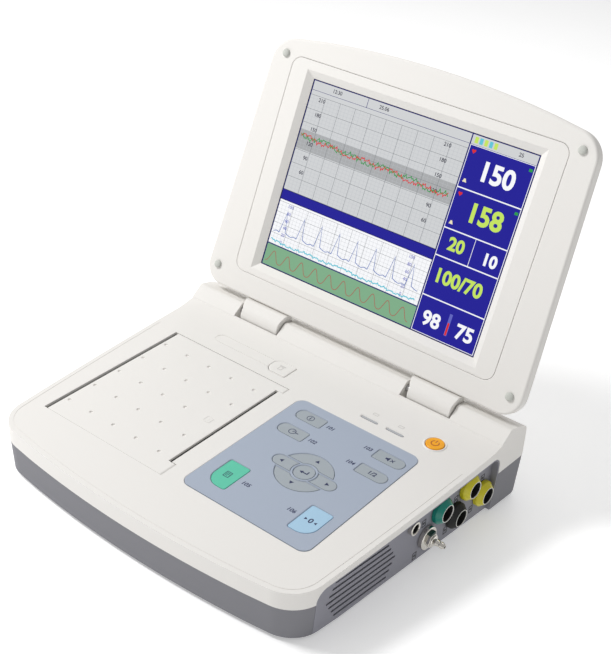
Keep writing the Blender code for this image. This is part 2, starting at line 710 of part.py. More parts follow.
# ---------------------------------------------------------------- lid
def lid_outline(distance=0.0):
    """The lid from its front, as (X, Z) from the hinge axis."""
    side_top = LID_TOP - LID_TOP_BOW
    top = []
    for share in (0.62, 0.32, 0.0, -0.32, -0.62):
        top.append((LID_HALF_TOP * share, LID_TOP - LID_TOP_BOW * share * share))
    outline = [(-LID_HALF_BOTTOM, LID_BOTTOM), (LID_HALF_BOTTOM, LID_BOTTOM), (LID_HALF_TOP, side_top)]
    outline += top + [(-LID_HALF_TOP, side_top)]
    bottom = max(LID_CORNER_BOTTOM - distance, LID_CORNER_LEAST)
    corner = max(LID_CORNER_TOP - distance, LID_CORNER_LEAST)
    radii = [bottom, bottom, corner, 0, 0, 0, 0, 0, corner]
    return rounded(inset(outline, distance), radii, 6)


def bezel_outline(distance=0.0):
    return rounded(
        rectangle(
            -BEZEL_HALF + distance, BEZEL_HALF - distance, BEZEL_Z[0] + distance, BEZEL_Z[1] - distance
        ),
        BEZEL_CORNER - distance, 5,
    )


def screen_rectangle(margin):
    half = SCREEN_WIDTH / 2 + margin
    return rectangle(-half, half, SCREEN_FOOT - margin, SCREEN_FOOT + SCREEN_HEIGHT + margin)


def build_lid():
    face = -LID_FACE
    split = face - LID_FRONT_DEPTH
    holes = [lid_outline(), list(reversed(bezel_outline(-GAP)))]
    front = place("lid_front_shell", slab(holes, split, face, "XZ"), "white_plastic", LID)
    soften(front, 0.0015, 1, 60)

    outside = [(0.0, 0.0), *LID_BACK]
    inside = []
    for draw_in, depth in reversed(outside):
        share = depth / LID_BACK[-1][1]
        inside.append((draw_in + LID_WALL * (1 - share), depth - LID_WALL * share))
    rings = []
    for draw_in, depth in inside + outside:
        outline = lid_outline(LID_STEP + draw_in)
        rings.append([(x, GAP - split + depth, z) for x, z in outline])
    place("lid_rear_shell", loft(rings), "white_plastic", LID)

    bezel_depth = LID_FRONT_DEPTH - 0.0010
    bezel = slab([bezel_outline(), list(reversed(screen_rectangle(0.0)))], face - bezel_depth, face, "XZ")
    frame = place("display_bezel", bezel, "white_plastic", LID)
    slope_rings = []
    for margin, depth in ((BEVEL_SIDE + 0.0015, -0.001), (0.0, SCREEN_SINK)):
        slope_rings.append([(x, LID_FACE + depth, z) for x, z in screen_rectangle(margin)])
    cut(frame, loft(slope_rings), LID)
    pocket = slab([screen_rectangle(PANEL_MARGIN + GAP)], -FAR, face - SCREEN_SINK + GAP, "XZ")
    cut(frame, pocket, LID)

    glass = face - SCREEN_SINK
    panel = slab([screen_rectangle(PANEL_MARGIN)], glass - PANEL_DEPTH, glass, "XZ")
    place("display_panel", panel, "screen_glass", LID)
    board_top = glass - PANEL_DEPTH - BOARD_STANDOFF
    outline = rectangle(-BOARD_HALF, BOARD_HALF, *BOARD_SPAN)
    board = slab([outline], board_top - BOARD_THICKNESS, board_top, "XZ")
    place("display_board", board, "circuit_board", LID)

    for name, x, z in bumper_places():
        dome = [(BUMPER_RADIUS * y, GAP + (BUMPER_HEIGHT - GAP) * x) for x, y in arc((0, 0), 1, 0, 90, 6)]
        bumper = turned(name, dome + [(0.0, GAP)], "light_rubber", LID, (x, LID_FACE, z), "Z", 20)
        bumper.rotation_euler = (math.radians(90), 0, 0)


def bumper_places():
    """Names and places of the lid's rubber buffers, in lid coordinates."""
    low, high = SCREEN_FOOT - 0.0177, SCREEN_FOOT + 0.1997
    return (
        ("lid_bumper_lower_left", -0.1694, low),
        ("lid_bumper_lower_right", 0.1694, low),
        ("lid_bumper_upper_left", -0.1591, high),
        ("lid_bumper_upper_right", 0.1591, high),
    )


# ---------------------------------------------------------------- printer
def door_outline(seam_gap=0.0, end_gap=0.0):
    """The door with its two hinge tabs, grown by negative gaps."""
    front, back = DOOR_FRONT + seam_gap, DOOR_BACK - seam_gap
    inner_front = DOOR_FRONT + TAB_WIDTH_FRONT - seam_gap
    inner_back = DOOR_BACK - TAB_WIDTH_BACK + seam_gap
    return [
        (DOOR_LEFT, front), (TAB_END - end_gap, front), (TAB_END - end_gap, inner_front),
        (DOOR_RIGHT, inner_front), (DOOR_RIGHT, inner_back), (TAB_END - end_gap, inner_back),
        (TAB_END - end_gap, back), (DOOR_LEFT, back),
    ]


def build_printer():
    pivot = (DOOR_PIVOT_X, 0, DOOR_PIVOT_Z)
    outline = []
    for x, y in door_outline():
        outline.append((min(x, DOOR_PIVOT_X) - DOOR_PIVOT_X, y))
    top = DOOR_TOP - DOOR_PIVOT_Z
    door = place("paper_door", slab([outline], top - DOOR_THICKNESS, top), "white_plastic", DECK, pivot)
    tabs = (
        (DOOR_FRONT, DOOR_FRONT + TAB_WIDTH_FRONT),
        (DOOR_BACK - TAB_WIDTH_BACK, DOOR_BACK),
    )
    for low, high in tabs:
        join(door, rod(DOOR_PIVOT_RADIUS, low, high, "Y", 24), DECK, pivot)
    pins = (
        (DOOR_FRONT - DOOR_PIN_REACH, DOOR_FRONT + DOOR_PIN_REACH),
        (DOOR_BACK - DOOR_PIN_REACH, DOOR_BACK + DOOR_PIN_REACH),
    )
    for low, high in pins:
        join(door, rod(DOOR_PIN_RADIUS, low, high, "Y", 12), DECK, pivot)

    head_top = top - DOOR_THICKNESS - GAP
    head_x = ROLLER_X - DOOR_PIVOT_X
    head = box(
        (head_x - HEAD_WIDTH / 2, DOOR_FRONT + HEAD_MARGIN, head_top - HEAD_THICKNESS),
        (head_x + HEAD_WIDTH / 2, DOOR_BACK - HEAD_MARGIN, head_top),
    )
    place("print_head", head, "steel", DECK, pivot)

    low, high = DOOR_FRONT - DOOR_SEAM, DOOR_BACK + DOOR_SEAM
    left, right = DOOR_LEFT - DOOR_SLOT, TAB_END + SLIDE_GAP
    rim = -CASE_WALL - GAP
    outer = rectangle(left - TRAY_WALL, right + TRAY_WALL, low - TRAY_WALL, high + TRAY_WALL)
    inner = rectangle(left, right, low, high)
    rings = [
        [(x, y, rim - TRAY_DEPTH + TRAY_WALL) for x, y in inner],
        [(x, y, rim) for x, y in inner],
        [(x, y, rim) for x, y in outer],
        [(x, y, rim - TRAY_DEPTH) for x, y in outer],
    ]
    tray = place("paper_tray", loft(rings), "black_plastic", DECK)
    past = TRAY_WALL * 2
    bores = (
        (JOURNAL_RADIUS + SHAFT_CLEARANCE, ROLLER_X, ROLLER_Z),
        (DOOR_PIN_RADIUS + SLIDE_GAP, DOOR_PIVOT_X, DOOR_PIVOT_Z),
    )
    for radius, x, z in bores:
        cut(tray, rod(radius, low - past, high + past, "Y", 12, (x, z)), DECK)

    axle = (ROLLER_X, 0, ROLLER_Z)
    rubber = rod(ROLLER_RADIUS, low + ROLLER_MARGIN, high - ROLLER_MARGIN, "Y", 20)
    roller = place("platen_roller", rubber, "black_rubber", DECK, axle)
    gear_start = high + TRAY_WALL + GEAR_STANDOFF
    join(roller, rod(JOURNAL_RADIUS, low - TRAY_WALL, gear_start + GEAR_WIDTH, "Y", 12), DECK, axle)

    gear = gear_mesh(GEAR_TEETH, JOURNAL_RADIUS + GAP, gear_start, MESH_ANGLE)
    place("roller_gear", gear, "brass", DECK, axle)
    spacing = GEAR_RADIUS + PINION_RADIUS + GAP
    pinion_at = (
        ROLLER_X + spacing * math.cos(MESH_ANGLE), 0, ROLLER_Z + spacing * math.sin(MESH_ANGLE)
    )
    turn = MESH_ANGLE + math.pi + math.pi / PINION_TEETH
    pinion = gear_mesh(PINION_TEETH, MOTOR_SHAFT_RADIUS + GAP, gear_start, turn)
    place("motor_pinion", pinion, "brass", DECK, pinion_at)
    body_start = gear_start + GEAR_WIDTH + GEAR_STANDOFF
    body = rod(MOTOR_RADIUS, body_start, body_start + MOTOR_LENGTH, "Y", 24)
    motor = place("printer_motor", body, "steel", DECK, pinion_at)
    shaft = rod(MOTOR_SHAFT_RADIUS, gear_start, body_start + MOTOR_SHAFT_RADIUS, "Y", 12)
    join(motor, shaft, DECK, pinion_at)


def gear_mesh(teeth, bore, start, turn):
    """A spur gear along Y with simple tapered teeth."""
    pitch = GEAR_MODULE * teeth / 2
    root, tip = pitch - 1.15 * GEAR_MODULE, pitch + GEAR_ADDENDUM * GEAR_MODULE
    outline = []
    for i in range(teeth):
        for share, radius in ((-0.30, root), (-0.14, tip), (0.14, tip), (0.30, root)):
            angle = 2 * math.pi * (i + share) / teeth + turn
            outline.append((radius * math.cos(angle), radius * math.sin(angle)))
    hole = arc((0, 0), bore, 360, 30, 11)
    return slab([outline, hole], -start - GEAR_WIDTH, -start, "XZ")


# ---------------------------------------------------------------- keypad and buttons
def panel_outline(distance=0.0):
    return rounded(
        rectangle(
            PANEL_LEFT + distance, PANEL_RIGHT - distance, PANEL_FRONT + distance, PANEL_BACK - distance
        ),
        PANEL_CORNER - distance, 4,
    )


def side_key(direction, grow):
    """One of the two side keys of the navigation pad: a bar with a round outer end."""
    half = NAV_ARM_WIDTH / 2 + grow
    outer = NAV_ARM_HALF - NAV_ARM_WIDTH / 2
    inner = OK_RADIUS + NAV_RIB - grow
    reach = math.degrees(math.asin(half / inner))
    points = arc((outer, 0), half, -90, 90, 6)
    points += arc((0, 0), inner, reach, -reach, 4)
    if direction < 0:
        points = [(-x, -y) for x, y in points]
    return [(NAV_X + x, NAV_Y + y) for x, y in points]


def segment_key(direction, grow):
    """The upper or lower navigation key: a slice of a disc beside the side keys."""
    edge = NAV_ARM_WIDTH / 2 + NAV_RIB * 0.75 - grow
    radius = NAV_RADIUS + grow
    reach = math.degrees(math.asin(edge / radius))
    inner = OK_RADIUS + NAV_RIB - grow
    dip = math.degrees(math.asin(edge / inner))
    points = arc((0, 0), radius, reach, 180 - reach, 12)
    points += arc((0, 0), inner, 180 - dip, dip, 4)
    if direction < 0:
        points = [(-x, -y) for x, y in points]
    return [(NAV_X + x, NAV_Y + y) for x, y in points]


def bar_key(left, right, low, high, radii):
    def outline(grow):
        corners = rectangle(left - grow, right + grow, low - grow, high + grow)
        return rounded(corners, [radius + grow for radius in radii], 5)
    return outline


def key_outlines():
    """Name, material and outline function of each key; the outline grows by its argument."""
    round_left = [0.0064, 0.0015, 0.0015, 0.0064]
    round_right = [0.0015, 0.0060, 0.0060, 0.0015]
    return (
        ("key_info", "key_grey", bar_key(0.0186, 0.0470, -0.1194, -0.1057, round_left)),
        ("key_pressure", "key_grey", bar_key(0.0186, 0.0470, -0.1448, -0.1310, round_left)),
        ("key_silence", "key_grey", bar_key(0.1045, 0.1337, -0.1199, -0.1070, round_right)),
        ("key_select", "key_grey", bar_key(0.1045, 0.1337, -0.1448, -0.1322, round_right)),
        ("key_print", "key_green", bar_key(0.0203, 0.0415, -0.2360, -0.2022, [0.013, 0.002, 0.002, 0.002])),
        ("key_zero", "key_blue", bar_key(0.1075, 0.1287, -0.2355, -0.2023, [0.002, 0.013, 0.002, 0.002])),
        ("key_up", "key_grey", lambda grow: segment_key(1, grow)),
        ("key_down", "key_grey", lambda grow: segment_key(-1, grow)),
        ("key_right", "key_grey", lambda grow: side_key(1, grow)),
        ("key_left", "key_grey", lambda grow: side_key(-1, grow)),
        ("key_enter", "key_grey", lambda grow: arc((NAV_X, NAV_Y), OK_RADIUS + grow, 0, 345, 23)),
    )


def build_keypad():
    top = PANEL_PROUD
    holes = [list(reversed(outline(SLIDE_GAP))) for _, _, outline in key_outlines()]
    panel = slab([panel_outline()] + holes, top - PANEL_THICKNESS, top)
    place("keypad_panel", panel, "keypad_blue", DECK)
    for name, finish, outline in key_outlines():
        place(name, slab([outline(0.0)], KEY_TOP - KEY_DEPTH, KEY_TOP), finish, DECK)
    board_top = KEY_TOP - KEY_DEPTH - KEY_TRAVEL - GAP
    board = slab([panel_outline(PANEL_LEDGE + 0.001)], board_top - BOARD_THICKNESS, board_top)
    place("keypad_board", board, "circuit_board", DECK)


def release_outline(distance=0.0):
    corners = rectangle(
        RELEASE_LEFT + distance, RELEASE_RIGHT - distance, RELEASE_FRONT + distance, RELEASE_BACK - distance
    )
    return rounded(corners, [0.008, 0.0015, 0.0015, 0.008], 4)


def lamp_outline(x, distance=0.0):
    half = LAMP_WIDTH / 2 - distance
    thick = LAMP_DEPTH / 2 - distance
    corners = rectangle(x - half, x + half, LAMP_Y - thick, LAMP_Y + thick)
    return rounded(corners, thick * 0.9, 2)


def build_buttons():
    button = rod(POWER_RADIUS, -BUTTON_DEPTH, POWER_TOP, "Z", 32)
    obj = place("power_button", button, "power_amber", DECK, (POWER_X, POWER_Y, 0))
    soften(obj, 0.0008, 1, 50)
    middle = ((RELEASE_LEFT + RELEASE_RIGHT) / 2, (RELEASE_FRONT + RELEASE_BACK) / 2, 0)
    outline = [(x - middle[0], y - middle[1]) for x, y in release_outline()]
    button = slab([outline], -BUTTON_DEPTH, BUTTON_TOP)
    place("door_release_button", button, "white_plastic", DECK, middle)
    for name, x in zip(("lamp_power", "lamp_charge"), LAMP_CENTRES):
        place(name, slab([lamp_outline(x)], -LAMP_LENGTH, LAMP_TOP), "lamp_grey", DECK)


# ---------------------------------------------------------------- side plate
def build_plate():
    blank = case_blank("connector_panel", GAP, "panel_grey")
    region = slab([plate_outline(GAP)], -PLATE_THICKNESS, PLATE_REACH, "YZ")
    combine(blank, as_cutter("plate_region", region, PLATE), "INTERSECT")
    cut(blank, slab([plate_outline(PLATE_RIM)], 0.0, PLATE_REACH, "YZ"), PLATE)
    for i in range(VENT_COUNT):
        skew = VENT_SKEW * abs(i - (VENT_COUNT - 1) / 2)
        start, end = VENT_FRONT + skew, VENT_BACK - skew
        half = VENT_WIDTH / 2
        outline = rounded(rectangle(start, end, -half, half), half * 0.9, 2)
        outline = [(y, z + VENT_SLOPE * (y - VENT_FRONT)) for y, z in outline]
        at = (0, 0, VENT_FIRST - VENT_PITCH * i)
        cut(blank, slab([outline], -PLATE_REACH, PLATE_REACH, "YZ"), PLATE, at)
    for _, y, z, radius in FITTINGS:
        cut(blank, rod(radius + GAP, -PLATE_REACH, PLATE_REACH, "X", 24, (y, z)), PLATE)


def socket_profile():
    return [
        (SOCKET_FACE, SOCKET_PROUD), (SOCKET_FLANGE, SOCKET_BAND), (SOCKET_FLANGE, GAP),
        (SOCKET_SHANK, GAP), (SOCKET_SHANK, -SOCKET_DEPTH), (0.0, -SOCKET_DEPTH),
        (0.0, SOCKET_FLOOR), (SOCKET_BORE, SOCKET_FLOOR), (SOCKET_BORE, SOCKET_PROUD),
    ]


def build_fittings():
    finishes = {
        "socket_teal": "teal_plastic", "socket_yellow_upper": "yellow_plastic",
        "socket_yellow_lower": "yellow_plastic", "socket_black": "black_plastic",
    }
    for name, y, z, radius in FITTINGS:
        at = (0, y, z)
        if name in finishes:
            turned(name, socket_profile(), finishes[name], PLATE, at)
        elif name == "marker_jack":
            profile = [
                (JACK_RADIUS, JACK_PROUD), (JACK_RADIUS, GAP), (radius, GAP), (radius, -JACK_DEPTH),
                (0.0, -JACK_DEPTH), (0.0, JACK_FLOOR), (JACK_BORE, JACK_FLOOR), (JACK_BORE, JACK_PROUD),
            ]
            turned(name, profile, "nickel", PLATE, at)
        else:
            profile = NOZZLE + [
                (COUPLING_RADIUS, COUPLING_FLANGE), (COUPLING_RADIUS, GAP), (radius, GAP),
                (radius, -JACK_DEPTH), (0.0, -JACK_DEPTH),
            ]
            turned(name, profile, "nickel", PLATE, at)


# ---------------------------------------------------------------- inside and underside
def inlet_outline(distance=0.0, corner=0.002):
    x, z = INLET_SIZE[0] / 2 - distance, INLET_SIZE[1] / 2 - distance
    corners = rectangle(INLET_X - x, INLET_X + x, INLET_Z - z, INLET_Z + z)
    return rounded(corners, corner - min(distance, 0), 3)


def build_back():
    """The mains inlet and the earth post."""
    start, end = INLET_SPAN
    inlet = place("power_inlet", slab([inlet_outline()], -end, -start, "XZ"), "black_plastic", DECK)
    cavity = slab([inlet_outline(INLET_WALL, 0.001)], -FAR, -start - INLET_WALL, "XZ")
    cut(inlet, cavity, DECK)
    for x, z in INLET_PINS:
        half_x, half_z = INLET_PIN[0] / 2, INLET_PIN[1] / 2
        low = (INLET_X + x - half_x, start + GAP, INLET_Z + z - half_z)
        high = (INLET_X + x + half_x, end - INLET_PIN_SINK, INLET_Z + z + half_z)
        join(inlet, box(low, high), DECK)
    stud = rod(EARTH_RADIUS, *EARTH_SPAN, "Y", 16, (EARTH_X, INLET_Z))
    post = place("earth_post", stud, "brass", DECK)
    soften(post, 0.0008, 1, 50)


def build_inside():
    """Boards, supply, battery, pump and speaker, clear of each other inside the cases."""
    board = box(MAIN_BOARD_LOW, [*MAIN_BOARD_HIGH, MAIN_BOARD_LOW[2] + BOARD_THICKNESS])
    place("main_board", board, "circuit_board", DECK)
    place("power_supply", box(SUPPLY_LOW, SUPPLY_HIGH), "aluminium", DECK)
    pump = rod(PUMP_RADIUS, *PUMP_SPAN, "X", 20, PUMP_AXIS)
    place("pressure_pump", pump, "black_plastic", DECK)
    front = -PLATE_THICKNESS - GAP
    speaker = rod(SPEAKER_RADIUS, front - SPEAKER_DEPTH, front, "X", 24)
    at = (0, (VENT_FRONT + VENT_BACK) / 2, SPEAKER_Z)
    place("speaker", speaker, "black_plastic", PLATE, at)

    x, y, height = BATTERY_SIZE
    floor = FOOT_HEIGHT + CASE_WALL + GAP * 2
    low, high = (-x / 2, -y / 2, floor), (x / 2, y / 2, floor + height)
    at = (BATTERY_X, BATTERY_Y, 0)
    place("battery_pack", box(low, high), "black_plastic", GROUND, at)
    x, y = x / 2 - HATCH_LEDGE - GAP, y / 2 - HATCH_LEDGE - GAP
    cover = box((-x, -y, FOOT_HEIGHT), (x, y, FOOT_HEIGHT + CASE_WALL))
    place("battery_cover", cover, "grey_plastic", GROUND, at)
    for name, x, y in FEET:
        pad = rod(FOOT_RADIUS, 0.0, FOOT_HEIGHT - GAP, "Z", 20)
        foot = place(name, pad, "black_rubber", GROUND, (x, y, 0))
        soften(foot, 0.0006, 1, 50)


# ---------------------------------------------------------------- assembly
clear_scene()
PARTS = new_collection("patient_monitor")
CUTTERS = new_collection("cutters")
GROUND = empty("ground_frame", None, (*MIDDLE, 0))
DECK = empty("deck_frame", GROUND, (0, 0, LIFT), (DECK_SLOPE, 0, 0))
PLATE = empty("plate_frame", DECK, (PLATE_X, PLATE_Y, 0), (0, 0, PLATE_TURN))
LID = empty("lid_frame", DECK, (0, HINGE_Y, HINGE_Z), (-LID_LEAN, 0, 0))

build_cases()
build_hinge()
build_lid()
build_printer()
build_keypad()
build_buttons()
build_plate()
build_fittings()
build_back()
build_inside()
bpy.context.view_layer.update()
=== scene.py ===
"""Bedside patient monitor: the finished looks of a flip-screen monitor with a printer and keypad.

Lengths are in metres. Shapes are laid out in four local frames: the deck, the side plate,
the lid and the ground. Every operator makes one piece or one group of like pieces.
"""

import math

import bmesh
import bpy
from mathutils import Matrix, Vector


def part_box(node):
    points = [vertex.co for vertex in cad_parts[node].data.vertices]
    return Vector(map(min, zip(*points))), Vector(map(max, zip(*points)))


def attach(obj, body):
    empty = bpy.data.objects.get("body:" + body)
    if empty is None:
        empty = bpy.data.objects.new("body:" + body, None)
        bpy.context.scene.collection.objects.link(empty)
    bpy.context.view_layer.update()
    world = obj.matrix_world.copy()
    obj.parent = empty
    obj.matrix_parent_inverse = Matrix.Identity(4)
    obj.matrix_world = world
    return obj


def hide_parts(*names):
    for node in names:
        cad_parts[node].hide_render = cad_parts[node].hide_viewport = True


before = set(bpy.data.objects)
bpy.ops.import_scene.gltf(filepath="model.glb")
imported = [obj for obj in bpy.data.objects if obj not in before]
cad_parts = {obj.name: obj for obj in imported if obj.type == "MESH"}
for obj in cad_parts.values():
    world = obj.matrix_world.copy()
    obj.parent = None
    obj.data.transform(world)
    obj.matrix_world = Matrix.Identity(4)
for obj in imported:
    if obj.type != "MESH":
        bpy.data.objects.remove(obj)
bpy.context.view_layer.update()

bl_info = {
    "name": "Bedside patient monitor",
    "version": (1, 0, 0),
    "blender": (4, 5, 0),
    "location": "View3D > Sidebar > Monitor",
    "description": "Builds the visible pieces, finishes and stage of a flip-screen patient monitor",
    "category": "Object",
}

# ---------------------------------------------------------------- frames and fitted sizes
DECK_SLOPE = math.radians(5.0)
LID_LEAN = math.radians(22.4)
GAP = 0.0003
SLIDE_GAP = 0.00035
MIDDLE = (-0.0051, 0.1136)
CASE_HALF_BACK = 0.1828
CASE_HALF_FRONT = 0.1678
CASE_SIDE_BULGE = 0.0020
CASE_FRONT = -0.3085
CASE_FRONT_BOW = 0.0140
CASE_CORNER = 0.032
CASE_WALL = 0.0028
CASE_FRONT_HEIGHT = 0.0460
CASE_BACK = 0.0170
CASE_DRAFT = 0.060
SEAM_FRONT = -0.0160
SEAM_SLOPE = 0.043
FOOT_HEIGHT = 0.0030
UNDER_SLOPE = math.tan(DECK_SLOPE)
LIFT = FOOT_HEIGHT + CASE_FRONT_HEIGHT * math.cos(DECK_SLOPE) - CASE_FRONT * math.sin(DECK_SLOPE)

HINGE = (-0.0218, 0.00515)
FAIRING_TOP = 0.0126
FAIRING_FRONT = -0.0345
NOTCH_RADIUS = 0.0130
NOTCH = (0.0722, 0.1267)
SHAFT_RADIUS = 0.0030

LID_FACE = -0.00215
LID_DEPTH = 0.0085
LID_BOTTOM = 0.01415
LID_TOP = 0.2779
LID_TOP_BOW = 0.0150
LID_HALF = (0.1826, 0.1745)
LID_CORNERS = (0.020, 0.026)
LID_WALL = 0.0025
LID_BACK = ((0.0000, 0.0030), (0.0045, 0.0110), (0.0150, 0.0180), (0.0310, 0.0222), (0.0480, 0.0240))
SCREEN_SIZE = (0.24576, 0.18432)
SCREEN_FOOT = 0.05045
SCREEN_SINK = 0.0050
BEZEL_HALF = 0.1488
BEZEL_SPAN = (SCREEN_FOOT - 0.0135, SCREEN_FOOT + 0.2005)
BEVEL_SIDE = 0.0073
PANEL_MARGIN = 0.0090

DOOR = (-0.1480, -0.0180, -0.2560, -0.0912)
DOOR_THICKNESS = 0.0026
DOOR_TOP = -0.0002
DOOR_SLOT = 0.0035
TAB_END = -0.0095
TABS = (0.0175, 0.0085)
DOOR_PIVOT = (TAB_END - 0.0024, DOOR_TOP - 0.0024)

KEYPAD = (0.0076, 0.1388, -0.2512, -0.0945)
KEYPAD_CORNER = 0.0085
KEYPAD_THICKNESS = 0.0016
KEYPAD_PROUD = 0.0003
KEY_TOP = 0.0001
KEY_DEPTH = 0.0045
NAV = (0.0759, -0.1747)
NAV_RIB = 0.0030
NAV_ARM_WIDTH = 0.0132
NAV_ARM_HALF = 0.0325
NAV_RADIUS = 0.0250
OK_RADIUS = 0.0092
POWER = (0.1353, -0.0692)
POWER_RADIUS = 0.0083
RELEASE = (-0.0485, -0.0255, -0.0790, -0.0600)
LAMP_Y = -0.0783
LAMPS = (0.0720, 0.0995)

PLATE_AT = (0.1714, -0.1600)
PLATE_TURN = math.radians(-1.5)
PLATE_THICKNESS = 0.0025
PLATE_ENDS = (-0.1140, 0.1260)
PLATE_TOP = (-0.0060, -0.0080)
PLATE_CORNER = 0.0110
PLATE_RIM = 0.0016
VENTS = 7
FITTINGS = {
    "marker_jack": (0.0072, -0.0178, 0.0052),
    "socket_teal": (0.0466, -0.0234, 0.0088),
    "socket_yellow_upper": (0.0872, -0.0226, 0.0088),
    "pressure_coupling": (0.0287, -0.0413, 0.0078),
    "socket_black": (0.0700, -0.0429, 0.0088),
    "socket_yellow_lower": (0.1110, -0.0433, 0.0088),
}
INLET = (0.105, -0.042, 0.0270, 0.0195)
EARTH_X = 0.060
FAR = 0.4

CREASE_INSET = 0.0046
PIN_HOLE_RADIUS = 0.00155
PIN_RADIUS = 0.0012
DOOR_BARREL_RADIUS = 0.0024
ROLLER = (-0.1400, -0.0106)
ROLLER_RADIUS = 0.0050
AXLE_RADIUS = 0.0020
BORE_GAP = 0.0004
HATCH_MIDDLE = (-0.090, -0.050)
HATCH_HALF = (0.0482, 0.0267)
SCREWS_AT = ((-0.09, 0.068), (0.09, 0.068), (-0.09, 0.222), (0.09, 0.222))
PLATE_MARKS_AT = (
    (0.0244, -0.0247), (0.0712, -0.0278), (0.1116, -0.0281), (0.0981, -0.0549),
    (0.0595, -0.0544), (0.0153, -0.0542),
)
SOCKET_TURN = math.radians(8)
CONTACTS = 8
CONTACT_CIRCLE = 0.0042
KNUCKLE_RADIUS = 0.0118
BUFFER_RADIUS = 0.0040
CAP_TOP = 0.0012
RELEASE_TOP = 0.0003
LABELS = (
    ("101", 0.0545, -0.1125), ("102", 0.0545, -0.1378), ("103", 0.0960, -0.1134),
    ("104", 0.0960, -0.1385), ("105", 0.0505, -0.2190), ("106", 0.0985, -0.2190),
)

GROUND_FRAME = Matrix.Translation((*MIDDLE, 0.0))
DECK_FRAME = Matrix.Translation((*MIDDLE, LIFT)) @ Matrix.Rotation(DECK_SLOPE, 4, "X")
PLATE_FRAME = DECK_FRAME @ Matrix.Translation((*PLATE_AT, 0.0)) @ Matrix.Rotation(PLATE_TURN, 4, "Z")
LID_FRAME = DECK_FRAME @ Matrix.Translation((0, *HINGE)) @ Matrix.Rotation(-LID_LEAN, 4, "X")


# ---------------------------------------------------------------- outlines
def arc(centre, radius, start, end, steps):
    """Points along an arc, angles in degrees."""
    points = []
    for i in range(steps + 1):
        angle = math.radians(start + (end - start) * i / steps)
        points.append((centre[0] + radius * math.cos(angle), centre[1] + radius * math.sin(angle)))
    return points


def rectangle(left, right, low, high):
    return [(left, low), (right, low), (right, high), (left, high)]


def rounded(points, radii, steps=8):
    """A closed outline with its corners rounded; a radius of 0 keeps a corner."""
    result = []
    count = len(points)
    for i, (x, y) in enumerate(points):
        radius = radii[i] if isinstance(radii, (list, tuple)) else radii
        if radius <= 0:
            result.append((x, y))
            continue
        (ax, ay), (bx, by) = points[i - 1], points[(i + 1) % count]
        la, lb = math.hypot(ax - x, ay - y), math.hypot(bx - x, by - y)
        ua, ub = ((ax - x) / la, (ay - y) / la), ((bx - x) / lb, (by - y) / lb)
        half = math.acos(max(-1.0, min(1.0, ua[0] * ub[0] + ua[1] * ub[1]))) / 2
        reach = radius / math.tan(half)
        middle = (ua[0] + ub[0], ua[1] + ub[1])
        size = math.hypot(*middle)
        depth = radius / math.sin(half)
        cx, cy = x + middle[0] / size * depth, y + middle[1] / size * depth
        start = math.atan2(y + ua[1] * reach - cy, x + ua[0] * reach - cx)
        turn = math.atan2(y + ub[1] * reach - cy, x + ub[0] * reach - cx) - start
        turn = (turn + math.pi) % (2 * math.pi) - math.pi
        for k in range(steps + 1):
            angle = start + turn * k / steps
            result.append((cx + radius * math.cos(angle), cy + radius * math.sin(angle)))
    return result


def inset(points, distance):
    """A counter-clockwise outline moved inwards; a negative distance moves it out."""
    result = []
    count = len(points)
    for i, (x, y) in enumerate(points):
        (ax, ay), (bx, by) = points[i - 1], points[(i + 1) % count]
        la, lb = math.hypot(x - ax, y - ay), math.hypot(bx - x, by - y)
        na, nb = (-(y - ay) / la, (x - ax) / la), (-(by - y) / lb, (bx - x) / lb)
        scale = distance / (1 + na[0] * nb[0] + na[1] * nb[1])
        result.append((x + (na[0] + nb[0]) * scale, y + (na[1] + nb[1]) * scale))
    return result


def smooth_line(points, steps):
    """A line through all the points, with each span eased into its neighbours."""
    ends = [points[0], *points, points[-1]]
    result = []
    for p, a, b, n in zip(ends, ends[1:], ends[2:], ends[3:]):
        for i in range(steps):
            t = i / steps
            result.append(tuple(
                0.5 * (2 * a[k] + (b[k] - p[k]) * t + (2 * p[k] - 5 * a[k] + 4 * b[k] - n[k]) * t * t
                       + (3 * a[k] - p[k] - 3 * b[k] + n[k]) * t ** 3)
                for k in range(2)
            ))
    return result + [points[-1]]


def stroke(points, width):
    """The outline of a line drawn with a given width, with square ends."""
    left, right = [], []
    last = len(points) - 1
    for i, (x, y) in enumerate(points):
        ax, ay = points[max(i - 1, 0)]
        bx, by = points[min(i + 1, last)]
        da = math.atan2(y - ay, x - ax) if i > 0 else math.atan2(by - y, bx - x)
        db = math.atan2(by - y, bx - x) if i < last else da
        turn = (db - da + math.pi) % (2 * math.pi) - math.pi
        angle = da + turn / 2 + math.pi / 2
        reach = width / 2 / max(math.cos(turn / 2), 0.35)
        left.append((x + reach * math.cos(angle), y + reach * math.sin(angle)))
        right.append((x - reach * math.cos(angle), y - reach * math.sin(angle)))
    return right + left[::-1]


def shifted(points, x, y):
    return [(a + x, b + y) for a, b in points]


def under(y):
    return -CASE_FRONT_HEIGHT - UNDER_SLOPE * (y - CASE_FRONT)


def seam(y):
    return SEAM_FRONT - SEAM_SLOPE * (y - CASE_FRONT)


